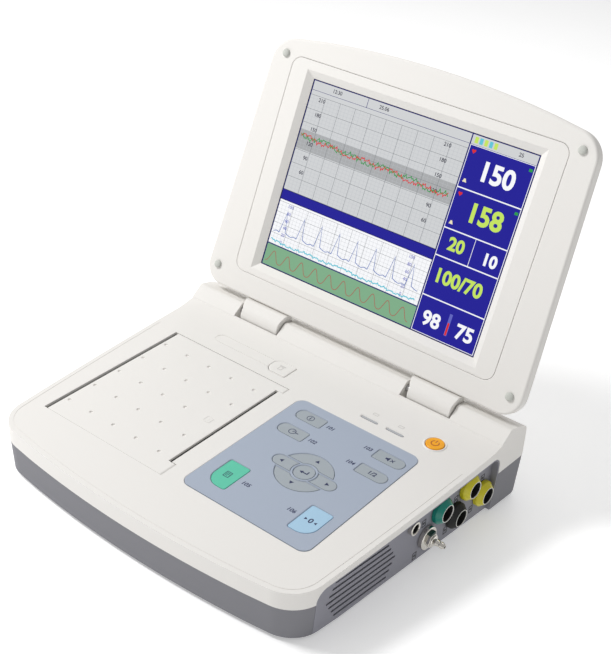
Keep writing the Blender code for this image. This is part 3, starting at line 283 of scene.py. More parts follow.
def case_outline(distance=0.0):
    """The case from above, counter-clockwise, moved in by a distance."""
    corner_y = CASE_FRONT + CASE_FRONT_BOW
    right = []
    for share in (1.0, 0.81, 0.62, 0.46, 0.3, 0.15):
        straight = CASE_HALF_BACK + (CASE_HALF_FRONT - CASE_HALF_BACK) * share
        right.append((straight + 4 * CASE_SIDE_BULGE * share * (1 - share), corner_y * share))
    right.append((CASE_HALF_BACK, CASE_BACK))
    front = []
    for step in range(-8, 9):
        share = step / 8 * 0.72
        front.append((CASE_HALF_FRONT * share, CASE_FRONT + CASE_FRONT_BOW * share * share))
    left = [(-x, y) for x, y in reversed(right)]
    radii = [0] * len(front) + [CASE_CORNER] + [0] * 5 + [0.015, 0.015] + [0] * 5 + [CASE_CORNER]
    return inset(rounded(front + right + left, radii, 14), distance)


def case_profile(distance=0.0, ease=smooth_line):
    """The case from its side, as (Y, Z), moved in by a distance; ease rounds the line off."""
    ridge = (HINGE[0] + 0.0005, FAIRING_TOP - 0.0060)
    top = ease([
        (FAIRING_FRONT - 0.0240, 0.0), (FAIRING_FRONT - 0.0170, 0.0004), (FAIRING_FRONT - 0.0100, 0.0011),
        (FAIRING_FRONT - 0.0040, 0.0021), (FAIRING_FRONT - 0.0014, 0.0027), (FAIRING_FRONT, 0.0044),
        arc(ridge, 0.0060, 140, 0, 1)[0],
    ], 4)[:-1]
    top += arc(ridge, 0.0060, 140, 62, 9)
    top += ease([(-0.0090, 0.0095), (0.0, 0.0050), (0.0055, 0.0010), (0.0098, -0.0120)], 4)
    back = ease([
        (0.0138, -0.0280), (0.0165, -0.0400), (CASE_BACK, -0.0490),
        (CASE_BACK - 0.0020, under(CASE_BACK) + 0.0130), (CASE_BACK - 0.0070, under(CASE_BACK) + 0.0045),
    ], 4)
    line = [(-FAR, under(-FAR)), (-FAR, 0.0)] + top + back + [(0.0020, under(0.0020))]
    line.reverse()
    return inset(line, distance)


def plate_outline(distance=0.0):
    points = [
        (PLATE_ENDS[0] + distance, -0.10), (PLATE_ENDS[1] - distance, -0.10),
        (PLATE_ENDS[1] - distance, PLATE_TOP[1] - distance),
        (PLATE_ENDS[0] + distance, PLATE_TOP[0] - distance),
    ]
    return rounded(points, [0, 0, PLATE_CORNER - distance, PLATE_CORNER - distance], 12)


def lid_outline(distance=0.0):
    """The lid from its front, as (X, Z) from the hinge axis."""
    side_top = LID_TOP - LID_TOP_BOW
    top = []
    for step in range(6, -7, -1):
        share = step / 6 * 0.70
        top.append((LID_HALF[1] * share, LID_TOP - LID_TOP_BOW * share * share))
    outline = [(-LID_HALF[0], LID_BOTTOM), (LID_HALF[0], LID_BOTTOM), (LID_HALF[1], side_top)]
    outline += top + [(-LID_HALF[1], side_top)]
    bottom, corner = (max(radius - distance, 0.010) for radius in LID_CORNERS)
    return rounded(inset(outline, distance), [bottom, bottom, corner] + [0] * 13 + [corner], 14)


def bezel_outline(distance=0.0):
    corners = rectangle(
        -BEZEL_HALF + distance, BEZEL_HALF - distance, BEZEL_SPAN[0] + distance, BEZEL_SPAN[1] - distance
    )
    return rounded(corners, 0.010 - distance, 10)


def screen_rectangle(margin):
    half = SCREEN_SIZE[0] / 2 + margin
    return rectangle(-half, half, SCREEN_FOOT - margin, SCREEN_FOOT + SCREEN_SIZE[1] + margin)


def door_outline(end_gap=0.0, seam_gap=0.0):
    left, right, front, back = DOOR
    end, front, back = TAB_END + end_gap, front - seam_gap, back + seam_gap
    inner_front, inner_back = front + TABS[0] + 2 * seam_gap, back - TABS[1] - 2 * seam_gap
    return [
        (left, front), (end, front), (end, inner_front), (right, inner_front),
        (right, inner_back), (end, inner_back), (end, back), (left, back),
    ]


def keypad_outline(distance=0.0):
    left, right, front, back = KEYPAD
    corners = rectangle(left + distance, right - distance, front + distance, back - distance)
    return rounded(corners, KEYPAD_CORNER - distance, 10)


def release_outline(distance=0.0):
    left, right, front, back = RELEASE
    corners = rectangle(left + distance, right - distance, front + distance, back - distance)
    return rounded(corners, [0.008, 0.0015, 0.0015, 0.008], 8)


def lamp_outline(x, distance=0.0):
    half, thick = 0.0175 / 2 - distance, 0.0012 - distance
    return rounded(rectangle(x - half, x + half, LAMP_Y - thick, LAMP_Y + thick), thick * 0.9, 5)


def inlet_outline(distance=0.0, corner=0.002):
    x, z = INLET[2] / 2 - distance, INLET[3] / 2 - distance
    corners = rectangle(INLET[0] - x, INLET[0] + x, INLET[1] - z, INLET[1] + z)
    return rounded(corners, corner - min(distance, 0), 6)


def bar_key(left, right, low, high, radii):
    def outline(grow):
        corners = rectangle(left - grow, right + grow, low - grow, high + grow)
        return rounded(corners, [max(radius + grow, 0.0004) for radius in radii], 8)
    return outline


def side_key(direction):
    def outline(grow):
        half = NAV_ARM_WIDTH / 2 + grow
        inner = OK_RADIUS + NAV_RIB - grow
        reach = math.degrees(math.asin(half / inner))
        points = arc((NAV_ARM_HALF - NAV_ARM_WIDTH / 2, 0), half, -90, 90, 14)
        points += arc((0, 0), inner, reach, -reach, 8)
        return shifted([(x * direction, y * direction) for x, y in points], *NAV)
    return outline


def segment_key(direction):
    def outline(grow):
        edge = NAV_ARM_WIDTH / 2 + NAV_RIB * 0.75 - grow
        radius, inner = NAV_RADIUS + grow, OK_RADIUS + NAV_RIB - grow
        reach = math.degrees(math.asin(edge / radius))
        dip = math.degrees(math.asin(edge / inner))
        points = arc((0, 0), radius, reach, 180 - reach, 28) + arc((0, 0), inner, 180 - dip, dip, 8)
        return shifted([(x * direction, y * direction) for x, y in points], *NAV)
    return outline


ROUND_LEFT, ROUND_RIGHT = [0.0064, 0.0015, 0.0015, 0.0064], [0.0015, 0.0060, 0.0060, 0.0015]
KEYS = {
    "key_info": bar_key(0.0186, 0.0470, -0.1194, -0.1057, ROUND_LEFT),
    "key_pressure": bar_key(0.0186, 0.0470, -0.1448, -0.1310, ROUND_LEFT),
    "key_silence": bar_key(0.1045, 0.1337, -0.1199, -0.1070, ROUND_RIGHT),
    "key_select": bar_key(0.1045, 0.1337, -0.1448, -0.1322, ROUND_RIGHT),
    "key_print": bar_key(0.0203, 0.0415, -0.2360, -0.2022, [0.013, 0.002, 0.002, 0.002]),
    "key_zero": bar_key(0.1075, 0.1287, -0.2355, -0.2023, [0.002, 0.013, 0.002, 0.002]),
    "key_up": segment_key(1),
    "key_down": segment_key(-1),
    "key_right": side_key(1),
    "key_left": side_key(-1),
    "key_enter": lambda grow: arc(NAV, OK_RADIUS + grow, 0, 354, 59),
}


# ---------------------------------------------------------------- mesh helpers
PLANES = {
    "XY": Matrix.Identity(4),
    "XZ": Matrix(((1, 0, 0, 0), (0, 0, -1, 0), (0, 1, 0, 0), (0, 0, 0, 1))),
    "YZ": Matrix(((0, 0, 1, 0), (1, 0, 0, 0), (0, 1, 0, 0), (0, 0, 0, 1))),
}


def to_mesh(bm, name="shape"):
    mesh = bpy.data.meshes.new(name)
    bm.to_mesh(mesh)
    bm.free()
    return mesh


def new_object(mesh, name="work"):
    obj = bpy.data.objects.new(name, mesh)
    bpy.context.scene.collection.objects.link(obj)
    return obj


def evaluated_mesh(obj):
    """The object's final mesh; the object and its own data are removed."""
    bpy.context.view_layer.update()
    mesh = bpy.data.meshes.new_from_object(obj.evaluated_get(bpy.context.evaluated_depsgraph_get()))
    bpy.data.objects.remove(obj)
    return mesh


def slab(outlines, low, high, plane="XY"):
    """A flat outline, with any holes after it, given thickness from low to high.

    The thickness runs along +Z for the plane XY, -Y for XZ and +X for YZ.
    """
    curve = bpy.data.curves.new("outline", "CURVE")
    curve.dimensions = "2D"
    curve.fill_mode = "BOTH"
    curve.extrude = (high - low) / 2
    for outline in outlines:
        spline = curve.splines.new("POLY")
        spline.points.add(len(outline) - 1)
        for point, (x, y) in zip(spline.points, outline):
            point.co = (x, y, 0, 1)
        spline.use_cyclic_u = True
    bm = bmesh.new()
    bm.from_mesh(evaluated_mesh(new_object(curve)))
    bmesh.ops.remove_doubles(bm, verts=bm.verts, dist=1e-6)
    bmesh.ops.translate(bm, vec=(0, 0, (low + high) / 2), verts=bm.verts)
    bmesh.ops.transform(bm, matrix=PLANES[plane], verts=bm.verts)
    bmesh.ops.recalc_face_normals(bm, faces=bm.faces)
    return to_mesh(bm)


def loft(rings):
    """A body through rings of points, capped at both ends."""
    bm = bmesh.new()
    loops = [[bm.verts.new(point) for point in ring] for ring in rings]
    for lower, upper in zip(loops, loops[1:]):
        for i in range(len(lower)):
            bm.faces.new((lower[i - 1], lower[i], upper[i], upper[i - 1]))
    bm.faces.new(loops[0])
    bm.faces.new(loops[-1])
    bmesh.ops.recalc_face_normals(bm, faces=bm.faces)
    return to_mesh(bm)


def pad(outline, low, high, edge, steps=4, plane="XY"):
    """A slab whose upper rim is rounded; outline is a function of how far it grows."""
    rings = [[(x, y, low) for x, y in outline(0.0)]]
    for i in range(steps + 1):
        angle = math.pi / 2 * i / steps
        drop, draw = edge * (1 - math.sin(angle)), edge * (1 - math.cos(angle))
        rings.append([(x, y, high - drop) for x, y in outline(-draw)])
    mesh = loft(rings)
    mesh.transform(PLANES[plane])
    return mesh


def lip(outline, depth, plane="XY", level=0.0):
    """A cutter that breaks the edge round an opening; outline is a function of how far it grows."""
    over = 0.0004
    rings = [[(x, y, level - depth) for x, y in outline(0.0)]]
    rings.append([(x, y, level + over) for x, y in outline(depth + over)])
    mesh = loft(rings)
    mesh.transform(PLANES[plane])
    return mesh


def box(low, high):
    bm = bmesh.new()
    bmesh.ops.create_cube(bm, size=1.0)
    size = [b - a for a, b in zip(low, high)]
    bmesh.ops.transform(bm, matrix=Matrix.Diagonal((*size, 1.0)), verts=bm.verts)
    bmesh.ops.translate(bm, vec=[(a + b) / 2 for a, b in zip(low, high)], verts=bm.verts)
    return to_mesh(bm)


AXES = {
    "X": Matrix.Rotation(math.radians(90), 4, "Y"),
    "Y": Matrix.Rotation(math.radians(-90), 4, "X"),
    "Z": Matrix.Identity(4),
}


def turned(profile, axis="Z", at=(0, 0, 0), steps=64):
    """A turned body from (radius, height) points round its closed section."""
    bm = bmesh.new()
    rings = []
    for radius, height in profile:
        if radius < 1e-7:
            rings.append([bm.verts.new((0, 0, height))])
            continue
        angles = [2 * math.pi * i / steps for i in range(steps)]
        rings.append([bm.verts.new((radius * math.cos(a), radius * math.sin(a), height)) for a in angles])
    for a, b in zip(rings, rings[1:] + rings[:1]):
        for i in range(steps):
            j = (i + 1) % steps
            if len(a) > 1 and len(b) > 1:
                bm.faces.new((a[i], a[j], b[j], b[i]))
            elif len(a) > 1:
                bm.faces.new((a[i], a[j], b[0]))
            elif len(b) > 1:
                bm.faces.new((a[0], b[j], b[i]))
    bmesh.ops.recalc_face_normals(bm, faces=bm.faces)
    bmesh.ops.transform(bm, matrix=Matrix.Translation(at) @ AXES[axis], verts=bm.verts)
    return to_mesh(bm)


def rod(radius, start, end, axis="Z", centre=(0, 0), steps=48):
    at = {"X": (0, *centre), "Y": (centre[0], 0, centre[1]), "Z": (*centre, 0)}[axis]
    return turned([(0, start), (radius, start), (radius, end), (0, end)], axis, at, steps)


def soft_rod(radius, start, end, edge, axis="Z", centre=(0, 0), steps=48):
    """A rod with rounded rims at both ends."""
    at = {"X": (0, *centre), "Y": (centre[0], 0, centre[1]), "Z": (*centre, 0)}[axis]
    rim = arc((radius - edge, start + edge), edge, -90, 0, 4)
    rim += arc((radius - edge, end - edge), edge, 0, 90, 4)
    return turned([(0, start)] + rim + [(0, end)], axis, at, steps)


def lettering(body, size, at, depth, bold=0.0, shear=0.0):
    """Figures as a thin flat mesh in the plane XY, its underside at the height of at."""
    curve = bpy.data.curves.new("figures", "FONT")
    curve.body = body
    curve.size = size
    curve.align_x = curve.align_y = "CENTER"
    curve.shear = shear
    curve.offset = bold
    curve.extrude = depth / 2
    curve.resolution_u = 4
    bm = bmesh.new()
    bm.from_mesh(evaluated_mesh(new_object(curve)))
    bmesh.ops.remove_doubles(bm, verts=bm.verts, dist=2e-6)
    bmesh.ops.dissolve_degenerate(bm, edges=bm.edges, dist=1e-6)
    bmesh.ops.recalc_face_normals(bm, faces=bm.faces)
    bmesh.ops.translate(bm, vec=(at[0], at[1], at[2] + depth / 2), verts=bm.verts)
    return to_mesh(bm)


def carved(mesh, cutters, operation="DIFFERENCE", before=None):
    """A mesh with others cut from it, or joined to it, one after another."""
    obj = new_object(mesh)
    if before:
        before(obj)
    tools = []
    for i, cutter in enumerate(cutters):
        tool = new_object(cutter, "tool")
        tool.hide_render = True
        tools.append(tool)
        modifier = obj.modifiers.new(f"tool_{i}", "BOOLEAN")
        modifier.operation = operation
        modifier.object = tool
        modifier.solver = "EXACT"
    result = evaluated_mesh(obj)
    for tool in tools:
        bpy.data.objects.remove(tool)
    result.materials.clear()
    return result


def bevelled(width, segments, angle):
    """A modifier step for carved: rounds every edge sharper than the angle."""
    def apply(obj):
        modifier = obj.modifiers.new("rounding", "BEVEL")
        modifier.width = width
        modifier.segments = segments
        modifier.limit_method = "ANGLE"
        modifier.angle_limit = math.radians(angle)
    return apply


def moved(mesh, matrix):
    mesh.transform(matrix)
    return mesh


def piece(name, parts, place, body, replaced=(), angle=32):
    """One finished piece from (mesh, material) pairs laid out in a local frame."""
    bm = bmesh.new()
    materials = []
    for mesh, material in parts:
        if material not in materials:
            materials.append(material)
        before = len(bm.faces)
        bm.from_mesh(mesh)
        bm.faces.ensure_lookup_table()
        for face in bm.faces[before:]:
            face.material_index = materials.index(material)
            face.smooth = True
    bmesh.ops.dissolve_degenerate(bm, edges=bm.edges, dist=1e-6)
    bmesh.ops.triangulate(bm, faces=[f for f in bm.faces if len(f.verts) > 4])
    bmesh.ops.transform(bm, matrix=place, verts=bm.verts)
    work = new_object(to_mesh(bm, name))
    work.data.set_sharp_from_angle(angle=math.radians(angle))
    weighting = work.modifiers.new("weighting", "WEIGHTED_NORMAL")
    weighting.keep_sharp = True
    weighting.mode = "FACE_AREA"
    mesh = evaluated_mesh(work)
    mesh.name = name
    obj = new_object(mesh, name)
    for material in materials:
        mesh.materials.append(material)
    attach(obj, body)
    if replaced:
        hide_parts(*replaced)
    return obj


# ---------------------------------------------------------------- shader groups and materials
def group_of(name, inputs, outputs):
    """A new shader group with its input and output nodes; inputs are (name, kind, default)."""
    tree = bpy.data.node_groups.new(name, "ShaderNodeTree")
    kinds = {"colour": "NodeSocketColor", "value": "NodeSocketFloat", "vector": "NodeSocketVector"}
    for label, kind, default in inputs:
        made = tree.interface.new_socket(label, in_out="INPUT", socket_type=kinds[kind])
        made.default_value = (*default, 1.0) if kind == "colour" else default
    for label, kind in outputs:
        tree.interface.new_socket(label, in_out="OUTPUT", socket_type=kinds[kind])
    return tree, tree.nodes.new("NodeGroupInput"), tree.nodes.new("NodeGroupOutput")


def noise(tree, vector, scale, detail=2.0, roughness=0.5):
    made = tree.nodes.new("ShaderNodeTexNoise")
    tree.links.new(vector, made.inputs["Vector"])
    made.inputs["Detail"].default_value = detail
    made.inputs["Roughness"].default_value = roughness
    if isinstance(scale, (int, float)):
        made.inputs["Scale"].default_value = scale
    else:
        tree.links.new(scale, made.inputs["Scale"])
    return made.outputs["Fac"]


def maths(tree, operation, a, b):
    made = tree.nodes.new("ShaderNodeMath")
    made.operation = operation
    for socket, value in zip(made.inputs, (a, b)):
        if isinstance(value, (int, float)):
            socket.default_value = value
        else:
            tree.links.new(value, socket)
    return made.outputs[0]


def ranged(tree, value, low, high, to_low=0.0, to_high=1.0):
    made = tree.nodes.new("ShaderNodeMapRange")
    tree.links.new(value, made.inputs["Value"])
    for label, number in (("From Min", low), ("From Max", high), ("To Min", to_low), ("To Max", to_high)):
        made.inputs[label].default_value = number
    return made.outputs["Result"]


def blended(tree, factor, first, second, mode="MIX"):
    made = tree.nodes.new("ShaderNodeMix")
    made.data_type = "RGBA"
    made.blend_type = mode
    sockets = (made.inputs[0], made.inputs[6], made.inputs[7])
    for socket, value in zip(sockets, (factor, first, second)):
        if isinstance(value, (int, float)):
            socket.default_value = value
        elif isinstance(value, tuple):
            socket.default_value = (*value, 1.0)
        else:
            tree.links.new(value, socket)
    return made.outputs[2]


def bumped(tree, height, strength, distance):
    made = tree.nodes.new("ShaderNodeBump")
    tree.links.new(height, made.inputs["Height"])
    made.inputs["Distance"].default_value = distance
    if isinstance(strength, (int, float)):
        made.inputs["Strength"].default_value = strength
    else:
        tree.links.new(strength, made.inputs["Strength"])
    return made.outputs["Normal"]


def make_moulded_grain():
    """Fine moulded texture: a speckled colour, a slow mottle and a pebbled surface."""
    tree, start, end = group_of(
        "moulded_grain",
        [("Colour", "colour", (0.8, 0.8, 0.8)), ("Speckle", "colour", (0.7, 0.7, 0.7)),
         ("Speckle Amount", "value", 0.3), ("Grain Scale", "value", 900.0), ("Mottle", "value", 0.03),
         ("Roughness", "value", 0.5), ("Relief", "value", 0.2)],
        [("Colour", "colour"), ("Roughness", "value"), ("Normal", "vector")],
    )
    where = tree.nodes.new("ShaderNodeTexCoord").outputs["Object"]
    grain = noise(tree, where, start.outputs["Grain Scale"], 3.0, 0.6)
    fleck = ranged(tree, grain, 0.56, 0.70)
    mask = maths(tree, "MULTIPLY", fleck, start.outputs["Speckle Amount"])
    colour = blended(tree, mask, start.outputs["Colour"], start.outputs["Speckle"])
    slow = ranged(tree, noise(tree, where, 9.0, 3.0), 0.3, 0.7, -1.0, 1.0)
    drift = maths(tree, "ADD", maths(tree, "MULTIPLY", slow, start.outputs["Mottle"]), 1.0)
    shade = tree.nodes.new("ShaderNodeVectorMath")
    shade.operation = "SCALE"
    tree.links.new(colour, shade.inputs[0])
    tree.links.new(drift, shade.inputs["Scale"])
    tree.links.new(shade.outputs[0], end.inputs["Colour"])
    polish = maths(tree, "MULTIPLY", maths(tree, "SUBTRACT", grain, 0.5), 0.22)
    tree.links.new(maths(tree, "ADD", start.outputs["Roughness"], polish), end.inputs["Roughness"])
    tree.links.new(bumped(tree, grain, start.outputs["Relief"], 0.00008), end.inputs["Normal"])
    return tree


def make_drawn_metal():
    """Fine parallel tool marks on turned or drawn metal."""
    tree, start, end = group_of(
        "drawn_metal",
        [("Colour", "colour", (0.6, 0.6, 0.6)), ("Stretch", "vector", (1.0, 30.0, 1.0)),
         ("Roughness", "value", 0.3), ("Relief", "value", 0.1)],
        [("Colour", "colour"), ("Roughness", "value"), ("Normal", "vector")],
    )
    where = tree.nodes.new("ShaderNodeTexCoord").outputs["Object"]
    stretched = tree.nodes.new("ShaderNodeVectorMath")
    stretched.operation = "MULTIPLY"
    tree.links.new(where, stretched.inputs[0])
    tree.links.new(start.outputs["Stretch"], stretched.inputs[1])
    marks = noise(tree, stretched.outputs[0], 160.0, 4.0, 0.65)
    tarnish = ranged(tree, noise(tree, where, 70.0, 2.0), 0.35, 0.75, 0.0, 0.35)
    darker = blended(tree, 1.0, start.outputs["Colour"], (0.72, 0.70, 0.68), "MULTIPLY")
    colour = blended(tree, tarnish, start.outputs["Colour"], darker)
    tree.links.new(colour, end.inputs["Colour"])
    change = maths(tree, "MULTIPLY", maths(tree, "SUBTRACT", marks, 0.5), 0.3)
    tree.links.new(maths(tree, "ADD", start.outputs["Roughness"], change), end.inputs["Roughness"])
    tree.links.new(bumped(tree, marks, start.outputs["Relief"], 0.00005), end.inputs["Normal"])
    return tree


def make_metal_flake():
    """Tiny bright and dark flakes in a printed film."""
    tree, start, end = group_of(
        "metal_flake",
        [("Colour", "colour", (0.4, 0.4, 0.5)), ("Flake", "colour", (0.6, 0.6, 0.7)),
         ("Amount", "value", 0.5), ("Flake Scale", "value", 1500.0)],
        [("Colour", "colour"), ("Mask", "value")],
    )
    where = tree.nodes.new("ShaderNodeTexCoord").outputs["Object"]
    cells = tree.nodes.new("ShaderNodeTexVoronoi")
    tree.links.new(where, cells.inputs["Vector"])
    tree.links.new(start.outputs["Flake Scale"], cells.inputs["Scale"])
    value = tree.nodes.new("ShaderNodeSeparateColor")
    tree.links.new(cells.outputs["Color"], value.inputs[0])
    mask = maths(tree, "MULTIPLY", ranged(tree, value.outputs[0], 0.55, 1.0), start.outputs["Amount"])
    dark = maths(tree, "MULTIPLY", ranged(tree, value.outputs[1], 0.6, 1.0), start.outputs["Amount"])
    shadow = blended(tree, 1.0, start.outputs["Colour"], (0.72, 0.72, 0.74), "MULTIPLY")
    base = blended(tree, dark, start.outputs["Colour"], shadow)
    tree.links.new(blended(tree, mask, base, start.outputs["Flake"]), end.inputs["Colour"])
    tree.links.new(mask, end.inputs["Mask"])
    return tree


def make_screen_pixels():
    """The slight unevenness of a lit screen: fine rows and a slow fall-off."""
    tree, start, end = group_of(
        "screen_pixels",
        [("Colour", "colour", (0.5, 0.5, 0.5)), ("Row Contrast", "value", 0.06)],
        [("Colour", "colour"), ("Unlit", "colour")],
    )
    where = tree.nodes.new("ShaderNodeTexCoord").outputs["Object"]
    rows = noise(tree, where, 2600.0, 1.0)
    slow = noise(tree, where, 6.0, 1.0)
    both = maths(tree, "ADD", maths(tree, "MULTIPLY", rows, 0.6), maths(tree, "MULTIPLY", slow, 0.4))
    change = maths(tree, "MULTIPLY", maths(tree, "SUBTRACT", both, 0.5), start.outputs["Row Contrast"])
    scale = tree.nodes.new("ShaderNodeVectorMath")
    scale.operation = "SCALE"
    tree.links.new(start.outputs["Colour"], scale.inputs[0])
    tree.links.new(maths(tree, "ADD", 1.0, change), scale.inputs["Scale"])
    tree.links.new(scale.outputs[0], end.inputs["Colour"])
    unlit = blended(tree, 1.0, scale.outputs[0], (0.16, 0.16, 0.16), "MULTIPLY")
    tree.links.new(unlit, end.inputs["Unlit"])
    return tree


SCREEN_GLOW = 0.84
GROUPS = {
    "moulded_grain": make_moulded_grain,
    "drawn_metal": make_drawn_metal,
    "metal_flake": make_metal_flake,
    "screen_pixels": make_screen_pixels,
}


def shader_group(material, name, values):
    """The named group placed in a material, with its own values."""
    tree = bpy.data.node_groups.get(name) or GROUPS[name]()
    node = material.node_tree.nodes.new("ShaderNodeGroup")
    node.node_tree = tree
    for label, value in values.items():
        if isinstance(value, tuple) and node.inputs[label].type == "RGBA":
            value = (*value, 1.0)
        node.inputs[label].default_value = value
    return node


def blank_material(name):
    material = bpy.data.materials.new(name)
    material.use_nodes = True
    return material, material.node_tree.nodes["Principled BSDF"], material.node_tree.links


def wired(material, node, shader):
    """The group's colour, roughness and normal led to the material's own shader."""
    for label, socket in (("Colour", "Base Color"), ("Roughness", "Roughness"), ("Normal", "Normal")):
        material.node_tree.links.new(node.outputs[label], shader.inputs[socket])


def plastic(name, colour, roughness=0.45, speckle=0.25, grain=900.0, relief=0.15, mottle=0.02,
            coat=0.0, fleck=None):
    """A moulded plastic or rubber."""
    found = bpy.data.materials.get(name)
    if found:
        return found
    material, shader = blank_material(name)[:2]
    fleck = fleck or tuple(channel * 0.78 for channel in colour)
    node = shader_group(material, "moulded_grain", {
        "Colour": tuple(colour), "Speckle": fleck, "Speckle Amount": speckle, "Grain Scale": grain,
        "Mottle": mottle, "Roughness": roughness, "Relief": relief,
    })
    wired(material, node, shader)
    shader.inputs["Coat Weight"].default_value = coat
    shader.inputs["Coat Roughness"].default_value = 0.12
    material.diffuse_color = (*colour, 1.0)
    return material


def metal(name, colour, roughness=0.3, stretch=(1.0, 30.0, 1.0), relief=0.1):
    found = bpy.data.materials.get(name)
    if found:
        return found
    material, shader = blank_material(name)[:2]
    node = shader_group(material, "drawn_metal", {
        "Colour": tuple(colour), "Stretch": stretch, "Roughness": roughness, "Relief": relief,
    })
    wired(material, node, shader)
    shader.inputs["Metallic"].default_value = 1.0
    material.diffuse_color = (*colour, 1.0)
    return material


def flaked_film(name, colour, flake, amount, roughness=0.42):
    """The printed film of the keypad, with metal flakes under a satin surface."""
    found = bpy.data.materials.get(name)
    if found:
        return found
    material, shader, links = blank_material(name)
    node = shader_group(material, "metal_flake", {
        "Colour": tuple(colour), "Flake": tuple(flake), "Amount": amount,
    })
    grain = shader_group(material, "moulded_grain", {"Roughness": roughness, "Relief": 0.06})
    links.new(node.outputs["Colour"], grain.inputs["Colour"])
    links.new(node.outputs["Colour"], grain.inputs["Speckle"])
    wired(material, grain, shader)
    material.diffuse_color = (*colour, 1.0)
    return material


def lit(name, colour):
    """A colour shown by the screen."""
    found = bpy.data.materials.get(name)
    if found:
        return found
    material, shader, links = blank_material(name)
    node = shader_group(material, "screen_pixels", {"Colour": tuple(colour)})
    links.new(node.outputs["Unlit"], shader.inputs["Base Color"])
    links.new(node.outputs["Colour"], shader.inputs["Emission Color"])
    shader.inputs["Emission Strength"].default_value = SCREEN_GLOW
    shader.inputs["Roughness"].default_value = 0.4
    shader.inputs["Specular IOR Level"].default_value = 0.2
    material.diffuse_color = (*colour, 1.0)
    return material


def printed_board():
    """A green board with copper tracks and pale pads."""
    found = bpy.data.materials.get("circuit_board")
    if found:
        return found
    material, shader, links = blank_material("circuit_board")
    tree = material.node_tree
    where = tree.nodes.new("ShaderNodeTexCoord").outputs["Object"]
    brick = tree.nodes.new("ShaderNodeTexBrick")
    links.new(where, brick.inputs["Vector"])
    brick.inputs["Scale"].default_value = 90.0
    brick.inputs["Mortar Size"].default_value = 0.03
    brick.inputs["Color1"].default_value = (0.02, 0.16, 0.07, 1)
    brick.inputs["Color2"].default_value = (0.01, 0.11, 0.05, 1)
    brick.inputs["Mortar"].default_value = (0.06, 0.30, 0.14, 1)
    grain = shader_group(material, "moulded_grain", {"Roughness": 0.4, "Relief": 0.1})
    links.new(brick.outputs["Color"], grain.inputs["Colour"])
    links.new(brick.outputs["Color"], grain.inputs["Speckle"])
    wired(material, grain, shader)
    return material


